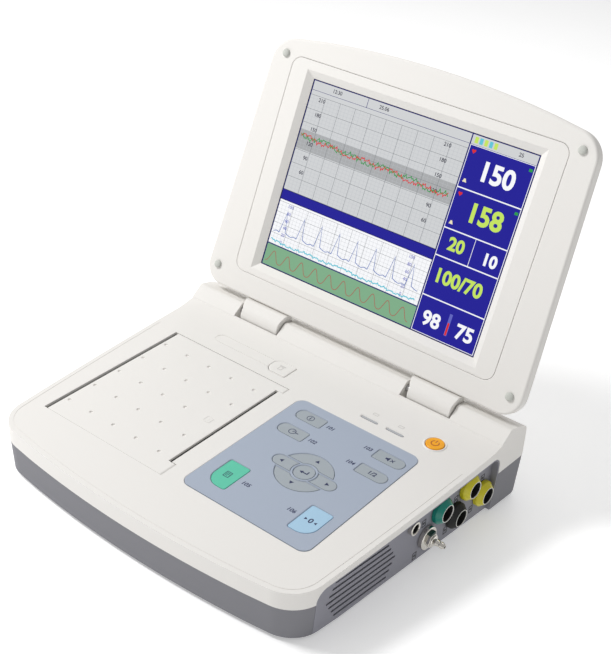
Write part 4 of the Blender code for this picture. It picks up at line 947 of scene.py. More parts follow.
# ---------------------------------------------------------------- repeated shapes
def repeat_in_rows():
    """A geometry tree that repeats the object's own mesh on a grid of columns and rows."""
    name = "repeat_in_rows"
    if name in bpy.data.node_groups:
        return bpy.data.node_groups[name]
    tree = bpy.data.node_groups.new(name, "GeometryNodeTree")
    face = tree.interface
    face.new_socket("Geometry", in_out="INPUT", socket_type="NodeSocketGeometry")
    wanted = (
        ("Columns", "NodeSocketInt", 2), ("Rows", "NodeSocketInt", 1),
        ("Column Pitch", "NodeSocketFloat", 0.01), ("Row Pitch", "NodeSocketFloat", 0.01),
        ("Left Out", "NodeSocketInt", -1), ("Taper", "NodeSocketFloat", 0.0),
        ("Finish", "NodeSocketMaterial", None),
    )
    for label, kind, default in wanted:
        made = face.new_socket(label, in_out="INPUT", socket_type=kind)
        if default is not None:
            made.default_value = default
    face.new_socket("Geometry", in_out="OUTPUT", socket_type="NodeSocketGeometry")
    start, end = tree.nodes.new("NodeGroupInput"), tree.nodes.new("NodeGroupOutput")
    link = tree.links.new

    def calc(operation, a, b):
        made = tree.nodes.new("ShaderNodeMath")
        made.operation = operation
        for socket, value in zip(made.inputs, (a, b)):
            if isinstance(value, (int, float)):
                socket.default_value = value
            else:
                link(value, socket)
        return made.outputs[0]

    columns, rows = start.outputs["Columns"], start.outputs["Rows"]
    count = calc("MULTIPLY", columns, rows)
    points = tree.nodes.new("GeometryNodePoints")
    link(count, points.inputs["Count"])
    index = tree.nodes.new("GeometryNodeInputIndex").outputs[0]
    column = calc("MODULO", index, columns)
    row = calc("FLOOR", calc("DIVIDE", calc("ADD", index, 0.01), columns), 0.0)
    spot = tree.nodes.new("ShaderNodeCombineXYZ")
    link(calc("MULTIPLY", column, start.outputs["Column Pitch"]), spot.inputs["X"])
    link(calc("MULTIPLY", row, start.outputs["Row Pitch"]), spot.inputs["Y"])
    link(spot.outputs[0], points.inputs["Position"])
    drop = tree.nodes.new("GeometryNodeDeleteGeometry")
    drop.domain = "POINT"
    same = tree.nodes.new("FunctionNodeCompare")
    same.data_type = "INT"
    same.operation = "EQUAL"
    link(tree.nodes.new("GeometryNodeInputIndex").outputs[0], same.inputs[2])
    link(start.outputs["Left Out"], same.inputs[3])
    link(same.outputs[0], drop.inputs["Selection"])
    middle = calc("MULTIPLY", calc("SUBTRACT", rows, 1.0), 0.5)
    away = calc("ABSOLUTE", calc("SUBTRACT", row, middle), 0.0)
    length = calc("SUBTRACT", 1.0, calc("MULTIPLY", away, start.outputs["Taper"]))
    size = tree.nodes.new("ShaderNodeCombineXYZ")
    link(length, size.inputs["X"])
    size.inputs["Y"].default_value = 1.0
    size.inputs["Z"].default_value = 1.0
    store = tree.nodes.new("GeometryNodeStoreNamedAttribute")
    store.data_type = "FLOAT_VECTOR"
    store.domain = "POINT"
    store.inputs["Name"].default_value = "length"
    link(points.outputs[0], store.inputs["Geometry"])
    link(size.outputs[0], store.inputs["Value"])
    link(store.outputs["Geometry"], drop.inputs["Geometry"])
    read = tree.nodes.new("GeometryNodeInputNamedAttribute")
    read.data_type = "FLOAT_VECTOR"
    read.inputs["Name"].default_value = "length"
    spread = tree.nodes.new("GeometryNodeInstanceOnPoints")
    link(drop.outputs["Geometry"], spread.inputs["Points"])
    link(start.outputs["Geometry"], spread.inputs["Instance"])
    link(read.outputs["Attribute"], spread.inputs["Scale"])
    real = tree.nodes.new("GeometryNodeRealizeInstances")
    link(spread.outputs[0], real.inputs[0])
    finish = tree.nodes.new("GeometryNodeSetMaterial")
    link(real.outputs[0], finish.inputs["Geometry"])
    link(start.outputs["Finish"], finish.inputs["Material"])
    link(finish.outputs[0], end.inputs[0])
    return tree


def repeated(mesh, place=Matrix.Identity(4), **values):
    """The mesh repeated on a grid by the tree above, then moved into its place."""
    obj = new_object(mesh, "repeat")
    modifier = obj.modifiers.new("repeat", "NODES")
    modifier.node_group = repeat_in_rows()
    names = {item.name: item.identifier for item in modifier.node_group.interface.items_tree
             if item.item_type == "SOCKET" and item.in_out == "INPUT"}
    for label, value in values.items():
        modifier[names[label.replace("_", " ")]] = value
    result = evaluated_mesh(obj)
    result.transform(place)
    return result


# ---------------------------------------------------------------- sizes and colours a user may change
def tint(red, green, blue):
    """Linear colour from ordinary 0 to 255 values."""
    result = []
    for value in (red, green, blue):
        share = value / 255
        result.append(share / 12.92 if share <= 0.04045 else ((share + 0.055) / 1.055) ** 2.4)
    return tuple(result)


def colour_setting(name, description, default):
    return bpy.props.FloatVectorProperty(
        name=name, description=description, default=default, size=3, min=0.0, max=1.0, subtype="COLOR"
    )


def length_setting(name, description, default):
    return bpy.props.FloatProperty(
        name=name, description=description, default=default, min=0.0, precision=5, unit="LENGTH"
    )


class MonitorColours(bpy.types.PropertyGroup):
    """The monitor's colours."""

    case: colour_setting("Case", "Warm white of the upper case, door and lid", tint(226, 221, 217))
    lower_case: colour_setting("Lower case", "Grey of the lower case", tint(176, 178, 179))
    side_plate: colour_setting("Side plate", "Grey of the connector plate", tint(150, 150, 160))
    keypad: colour_setting("Keypad", "Blue-grey of the keypad film", tint(160, 167, 184))
    keys: colour_setting("Keys", "Grey of the plain keys", tint(158, 166, 170))
    print_key: colour_setting("Print key", "Green of the print key", tint(90, 192, 160))
    zero_key: colour_setting("Zero key", "Blue of the zero key", tint(163, 203, 228))
    power: colour_setting("Power button", "Amber of the power button", tint(250, 172, 20))
    marks: colour_setting("Marks", "Ink of the marks on the keys", tint(38, 44, 84))
    socket_a: colour_setting("First socket", "Teal of the first socket", tint(12, 122, 106))
    socket_b: colour_setting("Second sockets", "Yellow of the second sockets", tint(212, 202, 52))


class MonitorSizes(bpy.types.PropertyGroup):
    """The monitor's small sizes that shape its looks."""

    case_edge: length_setting("Case edge", "Rounding along the deck's edge", 0.0030)
    lid_edge: length_setting("Lid edge", "Rounding of the lid's front rim", 0.0024)
    key_edge: length_setting("Key edge", "Rounding of the keys' rims", 0.0005)
    opening_edge: length_setting("Opening edge", "Broken edge round openings in the deck", 0.0004)
    dimple: length_setting("Dimple", "Radius of the dimples in the printer's door", 0.0019)
    ink: length_setting("Ink", "Thickness of printed marks", 0.00006)


# surface name: (colour setting or colour, how it is moulded)
PLASTICS = {
    "white_plastic": ("case", {"roughness": 0.46, "speckle": 0.30, "grain": 1500.0, "relief": 0.12}),
    "grey_plastic": ("lower_case", {"roughness": 0.52, "speckle": 0.35, "grain": 1500.0, "relief": 0.22}),
    "panel_grey": ("side_plate", {"roughness": 0.5, "speckle": 0.35, "grain": 1700.0, "relief": 0.2}),
    "key_grey": ("keys", {"roughness": 0.42, "speckle": 0.18, "grain": 2200.0, "relief": 0.05}),
    "key_green": ("print_key", {"roughness": 0.42, "speckle": 0.18, "grain": 2200.0, "relief": 0.05}),
    "key_blue": ("zero_key", {"roughness": 0.42, "speckle": 0.18, "grain": 2200.0, "relief": 0.05}),
    "power_amber": ("power", {"roughness": 0.3, "speckle": 0.1, "relief": 0.03, "coat": 0.3}),
    "teal_plastic": ("socket_a", {"roughness": 0.3, "speckle": 0.12, "relief": 0.05, "coat": 0.3}),
    "yellow_plastic": ("socket_b", {"roughness": 0.32, "speckle": 0.1, "relief": 0.05, "coat": 0.3}),
    "ink_blue": ("marks", {"roughness": 0.5, "speckle": 0.1, "relief": 0.03}),
    "black_plastic": (tint(17, 17, 20), {"roughness": 0.42, "speckle": 0.2, "relief": 0.12}),
    # near-black, darker than the black plastic: the connectors' real black lining with painted shade of their
    # hollows, and only painted shade in the speaker slots
    "hollow_black": (tint(9, 9, 10), {"roughness": 0.7, "speckle": 0.1, "relief": 0.05}),
    "gasket_green": (tint(22, 58, 50), {"roughness": 0.5, "speckle": 0.1, "relief": 0.1}),
    "shadow_ink": (tint(206, 203, 199), {"roughness": 0.5, "speckle": 0.2, "relief": 0.08}),
    "power_ink": (tint(176, 88, 8), {"roughness": 0.4, "speckle": 0.1, "relief": 0.03}),
    "black_rubber": (tint(34, 34, 36), {"roughness": 0.75, "speckle": 0.2, "grain": 700.0, "relief": 0.3}),
    "light_rubber": (tint(214, 212, 206), {"roughness": 0.62, "speckle": 0.15, "relief": 0.12}),
    "lamp_grey": (tint(170, 172, 172), {"roughness": 0.25, "speckle": 0.1, "relief": 0.02, "coat": 0.4}),
    "rim_white": (tint(238, 237, 232), {"roughness": 0.35, "speckle": 0.1, "relief": 0.03}),
    "plate_ink": (tint(22, 22, 28), {"roughness": 0.5, "speckle": 0.1, "relief": 0.05}),
    "screen_glass": (tint(16, 18, 40), {"roughness": 0.18, "speckle": 0.05, "relief": 0.0}),
}
METALS = {
    "nickel": (tint(168, 163, 154), {"roughness": 0.26, "relief": 0.08}),
    "steel": (tint(168, 168, 170), {"roughness": 0.34, "relief": 0.12}),
    "brass": (tint(206, 168, 92), {"roughness": 0.3, "relief": 0.1}),
    "aluminium": (tint(190, 192, 195), {"roughness": 0.4, "relief": 0.15, "stretch": (30.0, 1.0, 1.0)}),
}
LIGHTS = {
    "lit_navy": (22, 20, 112), "lit_blue": (26, 22, 148), "lit_grey": (206, 208, 210),
    "lit_white": (246, 247, 250), "lit_band": (168, 170, 172), "lit_line": (118, 122, 128),
    "lit_faint": (188, 191, 196), "lit_green": (126, 172, 136), "lit_lime": (196, 226, 96),
    "lit_red": (214, 40, 40), "lit_trace": (40, 150, 70),
    "lit_hump": (168, 92, 84), "lit_wave": (70, 104, 180), "lit_cyan": (96, 196, 214),
    "lit_cream": (236, 226, 190), "lit_dim": (96, 100, 190), "lit_ink": (40, 40, 60),
}


def finish(name):
    """The material of that name, made when it is first asked for."""
    if name == "circuit_board":
        return printed_board()
    if name == "keypad_blue":
        colour = tuple(bpy.context.scene.monitor_colours.keypad)
        return flaked_film(name, colour, tint(206, 210, 222), 0.55)
    if name in METALS:
        colour, values = METALS[name]
        return metal(name, colour, **values)
    if name in LIGHTS:
        return lit(name, tint(*LIGHTS[name]))
    colour, values = PLASTICS[name]
    if isinstance(colour, str):
        colour = tuple(getattr(bpy.context.scene.monitor_colours, colour))
    return plastic(name, colour, **values)


# ---------------------------------------------------------------- case
def case_blank(distance, ease=smooth_line):
    """The outside of both cases as one solid."""
    outline = case_outline(distance)
    lower = inset(outline, CASE_DRAFT * 0.07)
    rings = [
        [(x, y, seam(y) - 0.07) for x, y in lower],
        [(x, y, seam(y)) for x, y in outline],
        [(x, y, 0.03) for x, y in outline],
    ]
    return carved(loft(rings), [slab([case_profile(distance, ease)], -FAR, FAR, "YZ")], "INTERSECT")


def notch_rods(radius, margin):
    cutters = []
    for side in (-1, 1):
        low, high = sorted((side * (NOTCH[0] - margin), side * (NOTCH[1] + margin)))
        cutters.append(rod(radius, low, high, "X", HINGE, 64))
    return cutters


def case_hollow():
    plain = case_blank(CASE_WALL, lambda points, steps: points)
    return carved(plain, notch_rods(NOTCH_RADIUS + CASE_WALL, CASE_WALL))


def plate_recess():
    mesh = slab([plate_outline()], -PLATE_THICKNESS - GAP, 0.06, "YZ")
    return moved(mesh, DECK_FRAME.inverted() @ PLATE_FRAME)


def seam_side(low, high):
    """A block that takes away everything on one side of the seam between the cases."""
    turn = Matrix.Translation((0, CASE_FRONT, SEAM_FRONT)) @ Matrix.Rotation(-math.atan(SEAM_SLOPE), 4, "X")
    return moved(box((-FAR, -FAR, low), (FAR, FAR, high)), turn)


def door_slot_outline(grow=0.0):
    left, right = DOOR[0] - DOOR_SLOT, DOOR[0] + 0.002
    return rectangle(left - grow, right + grow, DOOR[2] - 0.0005 - grow, DOOR[3] + 0.0005 + grow)


def deck_openings(edge):
    """Cutters for the printer, keypad, buttons and lamps, with their broken edges."""
    low, high = -0.02, 0.02
    inner = rectangle(DOOR[0] - DOOR_SLOT, DOOR[1] + DOOR_SLOT, DOOR[2] + TABS[0], DOOR[3] - TABS[1])
    cutters = [
        slab([door_outline(SLIDE_GAP, 0.0005)], low, high),
        slab([inner], low, high),
        slab([door_slot_outline()], low, high),
        slab([keypad_outline(-GAP)], -KEYPAD_THICKNESS + KEYPAD_PROUD - GAP, high),
        slab([keypad_outline(0.0050)], low, high),
        lip(lambda grow: keypad_outline(-GAP - grow), edge * 1.5),
        rod(POWER_RADIUS + SLIDE_GAP, low, high, "Z", POWER, 64),
        lip(lambda grow: arc(POWER, POWER_RADIUS + SLIDE_GAP + grow, 0, 354, 59), edge),
        slab([release_outline(-SLIDE_GAP)], low, high),
        lip(lambda grow: release_outline(-SLIDE_GAP - grow), edge * 1.5),
    ]
    for x in LAMPS:
        cutters.append(slab([lamp_outline(x, -GAP)], low, high))
        cutters.append(lip(lambda grow, x=x: lamp_outline(x, -GAP - grow), edge * 2))
    cutters.append(rod(PIN_HOLE_RADIUS, DOOR[2] - 0.0027, DOOR[3] + 0.0027, "Y", DOOR_PIVOT, 24))
    return cutters


def edge_crease():
    """The fine line that runs round the flat of the deck, just inside its edge."""
    points = case_outline(CREASE_INSET)
    start = max(range(len(points)), key=lambda i: (points[i][0] < 0, points[i][1]))
    ordered = points[start:] + points[:start]
    line = [point for point in ordered if point[1] < FAIRING_FRONT - 0.024]
    return slab([stroke(line, 0.0006)], -0.00028, 0.001)


def release_channel():
    """The fine line of the finger channel that leads to the printer's release button."""
    middle, reach = -0.0695, 0.0060
    line = [(RELEASE[0] - 0.0008, middle - reach)]
    line += arc((-0.1115, middle), reach, 270, 90, 20)
    line += [(RELEASE[0] - 0.0008, middle + reach)]
    return slab([stroke(line, 0.0007)], -0.00030, 0.001)


class MONITOR_OT_top_case(bpy.types.Operator):
    """The white upper case with its deck, hinge ridge and openings"""

    bl_idname = "monitor.top_case"
    bl_label = "Upper case"

    def execute(self, context):
        sizes = context.scene.monitor_sizes
        shell = carved(
            case_blank(0.0), [case_hollow(), plate_recess()], before=bevelled(sizes.case_edge, 5, 50)
        )
        cutters = [seam_side(-FAR, GAP / 2), *notch_rods(NOTCH_RADIUS, 0.0)]
        for side in (-1, 1):
            low, high = sorted((side * NOTCH[0], side * NOTCH[1]))
            cutters.append(box((low, HINGE[0], 0.0008), (high, 0.02, 0.04)))
            low, high = sorted((side * (NOTCH[0] - 0.016), side * (NOTCH[1] + 0.016)))
            cutters.append(rod(SHAFT_RADIUS + BORE_GAP, low, high, "X", HINGE, 32))
        cutters += deck_openings(sizes.opening_edge) + [edge_crease(), release_channel()]
        shell = carved(shell, cutters)
        piece("upper_case", [(shell, finish("white_plastic"))], DECK_FRAME, "base",
              ["top_case"], angle=30)
        return {"FINISHED"}


class MONITOR_OT_bottom_case(bpy.types.Operator):
    """The grey lower case with its openings for the inlet, the earth post and the battery"""

    bl_idname = "monitor.bottom_case"
    bl_label = "Lower case"

    def execute(self, context):
        hatch = moved(
            box((-0.1385, -0.077, 0.0), (-0.0415, -0.023, 0.012)), DECK_FRAME.inverted() @ GROUND_FRAME
        )
        cutters = [
            case_hollow(), plate_recess(), seam_side(-GAP / 2, FAR),
            slab([inlet_outline(-GAP)], -0.06, 0.03, "XZ"),
            rod(0.0043, -0.02, 0.05, "Y", (EARTH_X, INLET[1]), 32), hatch,
        ]
        shell = carved(case_blank(0.0003), cutters, before=bevelled(0.0020, 4, 50))
        piece("lower_case", [(shell, finish("grey_plastic"))], DECK_FRAME, "base",
              ["bottom_case"], angle=30)
        return {"FINISHED"}


# ---------------------------------------------------------------- side plate and its fittings
VENT_SPAN = (-0.1015, -0.0132)
VENT_FIRST = -0.0095
VENT_PITCH = 0.00565
VENT_WIDTH = 0.0022
VENT_SLOPE = -0.0980
VENT_SKEW = 0.0034


def vent_cutters():
    """The seven sloping slots in front of the speaker, the middle ones longest."""
    length = VENT_SPAN[1] - VENT_SPAN[0]
    half = VENT_WIDTH / 2
    slot = slab([rounded(rectangle(-length / 2, length / 2, -half, half), half * 0.95, 8)], -0.06, 0.06)
    slope = Matrix.Identity(4)
    slope[1][0] = VENT_SLOPE
    middle = sum(VENT_SPAN) / 2
    at = Matrix.Translation((0, middle, VENT_FIRST + VENT_SLOPE * length / 2))
    return repeated(
        slot, at @ PLANES["YZ"] @ slope, Columns=1, Rows=VENTS, Row_Pitch=-VENT_PITCH,
        Taper=2 * VENT_SKEW / length, Finish=finish("panel_grey"),
    )


def plate_mark(y, z, size=0.0032):
    """A small square outline with a dot, beside a connector."""
    outer = rounded(rectangle(y - size, y + size, z - size * 1.25, z + size * 1.25), 0.0005, 3)
    inner = rounded(
        rectangle(y - size * 0.70, y + size * 0.70, z - size * 0.98, z + size * 0.98), 0.0003, 3
    )
    dot = arc((y, z), size * 0.45, 0, 345, 23)
    return slab([outer, inner[::-1], dot], 0.0, 0.00012, "YZ")


class MONITOR_OT_connector_plate(bpy.types.Operator):
    """The grey side plate with its rim, speaker slots and small marks"""

    bl_idname = "monitor.connector_plate"
    bl_label = "Connector plate"

    def execute(self, context):
        to_plate = PLATE_FRAME.inverted() @ DECK_FRAME
        blank = moved(case_blank(GAP), to_plate)
        region = slab([plate_outline(GAP)], -PLATE_THICKNESS, 0.06, "YZ")
        blank = carved(blank, [region], "INTERSECT")
        cutters = [slab([plate_outline(PLATE_RIM)], 0.0, 0.06, "YZ"), vent_cutters()]
        for y, z, radius in FITTINGS.values():
            cutters.append(rod(radius + GAP, -0.06, 0.06, "X", (y, z), 48))
        plate = carved(blank, cutters)
        # a near-black sheet inside the plate's thickness, seen only through the speaker slots: painted shade
        # of the slots
        span = [(-0.1045, -0.0465), (-0.0100, -0.0545), (-0.0100, -0.0120), (-0.1045, -0.0070)]
        slot_shade_sheet = slab([span], -0.0022, -0.0013, "YZ")
        parts = [(plate, finish("panel_grey")), (slot_shade_sheet, finish("hollow_black"))]
        for y, z in PLATE_MARKS_AT:
            parts.append((plate_mark(y, z, 0.0029), finish("plate_ink")))
        piece("side_plate", parts, PLATE_FRAME, "base", ["connector_panel"], angle=30)
        return {"FINISHED"}


def socket_parts(colour):
    """A round connector: coloured shell, pale ring, dark hollow and contacts."""
    shell = [
        (0.0081, 0.0085), (0.0084, 0.0084), (0.01185, 0.0043), (0.0122, 0.0036), (0.0122, 0.0007),
        (0.0119, 0.0003), (0.0088, 0.0003), (0.0088, -0.0120), (0.0, -0.0120), (0.0, -0.0090),
        (0.0077, -0.0090), (0.0077, 0.0080), (0.0078, 0.0085),
    ]
    ring = [(0.0081, 0.0083), (0.0081, 0.0087), (0.0080, 0.0088), (0.0077, 0.0088), (0.0076, 0.0087),
            (0.0075, 0.0070), (0.0078, 0.0068)]
    liner = [(0.0076, 0.0082), (0.0072, 0.0078), (0.0072, -0.0030), (0.0, -0.0030), (0.0, -0.0085),
             (0.0076, -0.0085)]
    parts = [
        (turned(shell, "X", steps=72), finish(colour)), (turned(ring, "X", steps=72), finish("rim_white")),
        (turned(liner, "X", steps=72), finish("hollow_black")),
    ]
    key = box((-0.0030, -0.0012, 0.0052), (0.0074, 0.0012, 0.0072))
    parts.append((key, finish("hollow_black")))
    pin = soft_rod(0.0005, -0.0031, 0.0016, 0.0003, "X", steps=10)
    for i in range(CONTACTS):
        angle = 2 * math.pi * (i + 0.5) / CONTACTS
        at = Matrix.Translation((0, CONTACT_CIRCLE * math.cos(angle), CONTACT_CIRCLE * math.sin(angle)))
        parts.append((moved(pin.copy(), at), finish("brass")))
    return parts


class MONITOR_OT_sockets(bpy.types.Operator):
    """The four round connectors for the transducers"""

    bl_idname = "monitor.sockets"
    bl_label = "Round connectors"

    def execute(self, context):
        colours = {
            "socket_teal": "teal_plastic", "socket_yellow_upper": "yellow_plastic",
            "socket_yellow_lower": "yellow_plastic", "socket_black": "black_plastic",
        }
        for node, colour in colours.items():
            y, z, _ = FITTINGS[node]
            place = PLATE_FRAME @ Matrix.Translation((0, y, z)) @ Matrix.Rotation(SOCKET_TURN, 4, "X")
            piece(f"{node}_shell", socket_parts(colour), place, "base", [node], angle=35)
        return {"FINISHED"}


class MONITOR_OT_jack_and_coupling(bpy.types.Operator):
    """The marker's jack and the air hose's coupling"""

    bl_idname = "monitor.jack_and_coupling"
    bl_label = "Jack and hose coupling"

    def execute(self, context):
        jack = [
            (0.0056, 0.0042), (0.0062, 0.0039), (0.0064, 0.0032), (0.0064, 0.0003), (0.0052, 0.0003),
            (0.0052, -0.0100), (0.0, -0.0100), (0.0, -0.0080), (0.0043, -0.0080), (0.0043, 0.0036),
            (0.0047, 0.0041),
        ]
        lining = [(0.0042, 0.0030), (0.0036, 0.0030), (0.0034, -0.0060), (0.0, -0.0060), (0.0, -0.0078),
                  (0.0042, -0.0078)]
        y, z, _ = FITTINGS["marker_jack"]
        parts = [(turned(jack, "X", steps=64), finish("nickel")),
                 (turned(lining, "X", steps=48), finish("hollow_black"))]
        place = PLATE_FRAME @ Matrix.Translation((0, y, z))
        piece("marker_jack_ring", parts, place, "base", ["marker_jack"], angle=35)

        flange = [
            (0.0078, 0.0050), (0.0100, 0.0046), (0.0106, 0.0042), (0.0108, 0.0036), (0.0108, 0.0008),
            (0.0105, 0.0003), (0.0078, 0.0003), (0.0078, -0.0100), (0.0, -0.0100), (0.0, 0.0050),
        ]
        collar = rounded([(0.0070 * math.cos(a), 0.0070 * math.sin(a)) for a in
                          (math.pi / 3 * i for i in range(6))], 0.0012, 5)
        hexagon = pad(lambda grow: inset(collar, -grow), 0.0045, 0.0085, 0.0005, 3, "YZ")
        nozzle = [
            (0.0, 0.0170), (0.0012, 0.0170), (0.0012, 0.0200), (0.0019, 0.0200), (0.0026, 0.0188),
            (0.0031, 0.0160), (0.0025, 0.0157), (0.0025, 0.0146), (0.0033, 0.0118), (0.0026, 0.0116),
            (0.0026, 0.0104), (0.0048, 0.0098), (0.0054, 0.0092), (0.0054, 0.0080), (0.0, 0.0080),
        ]
        insert = box((0.0048, -0.0032, 0.0060), (0.0080, 0.0032, 0.0082))
        y, z, _ = FITTINGS["pressure_coupling"]
        parts = [(turned(flange, "X", steps=72), finish("nickel")), (hexagon, finish("nickel")),
                 (turned(nozzle, "X", steps=48), finish("nickel")), (insert, finish("gasket_green"))]
        place = PLATE_FRAME @ Matrix.Translation((0, y, z))
        piece("hose_coupling", parts, place, "base", ["pressure_coupling"], angle=35)
        return {"FINISHED"}


# ---------------------------------------------------------------- lid
FACE = -LID_FACE
SPLIT = FACE - LID_DEPTH
GLASS = FACE - SCREEN_SINK


class MONITOR_OT_lid_shells(bpy.types.Operator):
    """The lid's front frame with its rounded rim and the domed back"""

    bl_idname = "monitor.lid_shells"
    bl_label = "Lid shells"

    def execute(self, context):
        rim = context.scene.monitor_sizes.lid_edge
        front = pad(lambda grow: lid_outline(-grow), SPLIT, FACE, rim, 6, "XZ")
        cutters = [
            slab([bezel_outline(-GAP)], SPLIT - 0.01, FACE + 0.01, "XZ"),
            lip(lambda grow: bezel_outline(-GAP - grow), 0.0006, "XZ", FACE),
        ]
        front = carved(front, cutters)
        piece("lid_front", [(front, finish("white_plastic"))], LID_FRAME, "lid",
              ["lid_front_shell"], angle=30)

        outside = smooth_line([(0.0, 0.0), *LID_BACK], 4)
        depth_all = LID_BACK[-1][1]
        inside = []
        for draw_in, depth in reversed(outside):
            share = depth / depth_all
            inside.append((draw_in + LID_WALL * (1 - share), depth - LID_WALL * share))
        rings = []
        for draw_in, depth in inside + outside:
            outline = lid_outline(0.0006 + draw_in)
            rings.append([(x, GAP - SPLIT + depth, z) for x, z in outline])
        back = loft(rings)
        level = GAP - SPLIT + depth_all
        groove = slab([rounded(rectangle(-0.105, 0.105, 0.085, 0.205), 0.008, 8),
                       rounded(rectangle(-0.1042, 0.1042, 0.0858, 0.2042), 0.0072, 8)[::-1]],
                      -level - 0.001, -level + 0.0005, "XZ")
        cups = []
        for x, z in SCREWS_AT:
            cups.append(turned([(0, 0.0012), (0.0032, 0.0012), (0.0036, -0.0016), (0, -0.0016)], "Y",
                               (x, level, z), 40))
        back = carved(back, [groove] + cups)
        piece("lid_back", [(back, finish("white_plastic"))], LID_FRAME, "lid",
              ["lid_rear_shell"], angle=30)
        screws = []
        for x, z in SCREWS_AT:
            head = turned([(0, -0.0015), (0.0026, -0.0015), (0.0026, -0.0007), (0.0020, -0.0003),
                           (0, -0.0002)], "Y", (x, level, z), 32)
            slot = box((x - 0.0018, level - 0.0008, z - 0.0003), (x + 0.0018, level + 0.0005, z + 0.0003))
            cross = box((x - 0.0003, level - 0.0008, z - 0.0018), (x + 0.0003, level + 0.0005, z + 0.0018))
            screws.append((carved(head, [slot, cross]), finish("steel")))
        piece("lid_screws", screws, LID_FRAME, "lid", angle=30)
        return {"FINISHED"}


class MONITOR_OT_screen_frame(bpy.types.Operator):
    """The inner frame that slopes down to the screen"""

    bl_idname = "monitor.screen_frame"
    bl_label = "Screen frame"

    def execute(self, context):
        depth = LID_DEPTH - 0.0010
        blank = pad(lambda grow: bezel_outline(-grow), FACE - depth, FACE, 0.0005, 3, "XZ")
        slope = []
        for margin, sink in ((BEVEL_SIDE + 0.0015, -0.001), (0.0, SCREEN_SINK)):
            slope.append([(x, LID_FACE + sink, z) for x, z in screen_rectangle(margin)])
        cutters = [
            loft(slope), slab([screen_rectangle(0.0)], FACE - 0.02, FACE + 0.01, "XZ"),
            slab([screen_rectangle(PANEL_MARGIN + GAP)], -FAR, GLASS + GAP, "XZ"),
        ]
        frame_mesh = carved(blank, cutters)
        piece("screen_frame", [(frame_mesh, finish("white_plastic"))], LID_FRAME, "lid",
              ["display_bezel"], angle=25)
        return {"FINISHED"}


# ---------------------------------------------------------------- the picture on the screen
LAYER = 0.00004


def on_screen(u, v):
    """A place on the screen from shares of its width and of its height, counted from the top left."""
    return (u - 0.5) * SCREEN_SIZE[0], SCREEN_FOOT + (1 - v) * SCREEN_SIZE[1]


def tiles(rectangles, layer):
    """Thin plates on the screen from (left, right, top, bottom) shares."""
    bm = bmesh.new()
    for left, right, top, bottom in rectangles:
        (x0, z1), (x1, z0) = on_screen(left, top), on_screen(right, bottom)
        low, high = GLASS + LAYER * layer, GLASS + LAYER * (layer + 1)
        made = bmesh.ops.create_cube(bm, size=1.0)["verts"]
        for vert in made:
            vert.co = (
                x1 if vert.co.x > 0 else x0, -(high if vert.co.y < 0 else low), z1 if vert.co.z > 0 else z0
            )
    return to_mesh(bm)


def trace(points, width, layer):
    """A thin line on the screen through (u, v) shares."""
    low, high = GLASS + LAYER * layer, GLASS + LAYER * (layer + 1)
    flat = [on_screen(u, v) for u, v in points]
    outline = stroke(flat, width)
    count = len(flat)
    right, left = outline[:count], outline[count:][::-1]
    rings = []
    for (ax, az), (bx, bz) in zip(left, right):
        rings.append([(ax, -low, az), (bx, -low, bz), (bx, -high, bz), (ax, -high, az)])
    return loft(rings)


def figures(body, u, v, height, layer, bold=0.0):
    x, z = on_screen(u, v)
    mesh = lettering(body, height, (x, z, GLASS + LAYER * layer), LAYER, bold)
    mesh.transform(PLANES["XZ"])
    return mesh


def grid_lines(left, right, top, bottom, columns, rows, thick):
    lines = []
    across, down = thick / SCREEN_SIZE[0] / 2, thick / SCREEN_SIZE[1] / 2
    for i in range(columns + 1):
        u = left + (right - left) * i / columns
        lines.append((u - across, u + across, top, bottom))
    for i in range(rows + 1):
        v = top + (bottom - top) * i / rows
        lines.append((left, right, v - down, v + down))
    return lines


def wander(seed, count, spread):
    """A repeatable jagged walk between -1 and 1."""
    values = []
    for i in range(count):
        slow = math.sin(i * 0.21 + seed) * 0.55 + math.sin(i * 0.083 + seed * 2.3) * 0.35
        quick = math.sin(i * 1.9 + seed * 5.1) * math.sin(i * 0.77 + seed) * spread
        values.append(max(-1.0, min(1.0, slow + quick)))
    return values


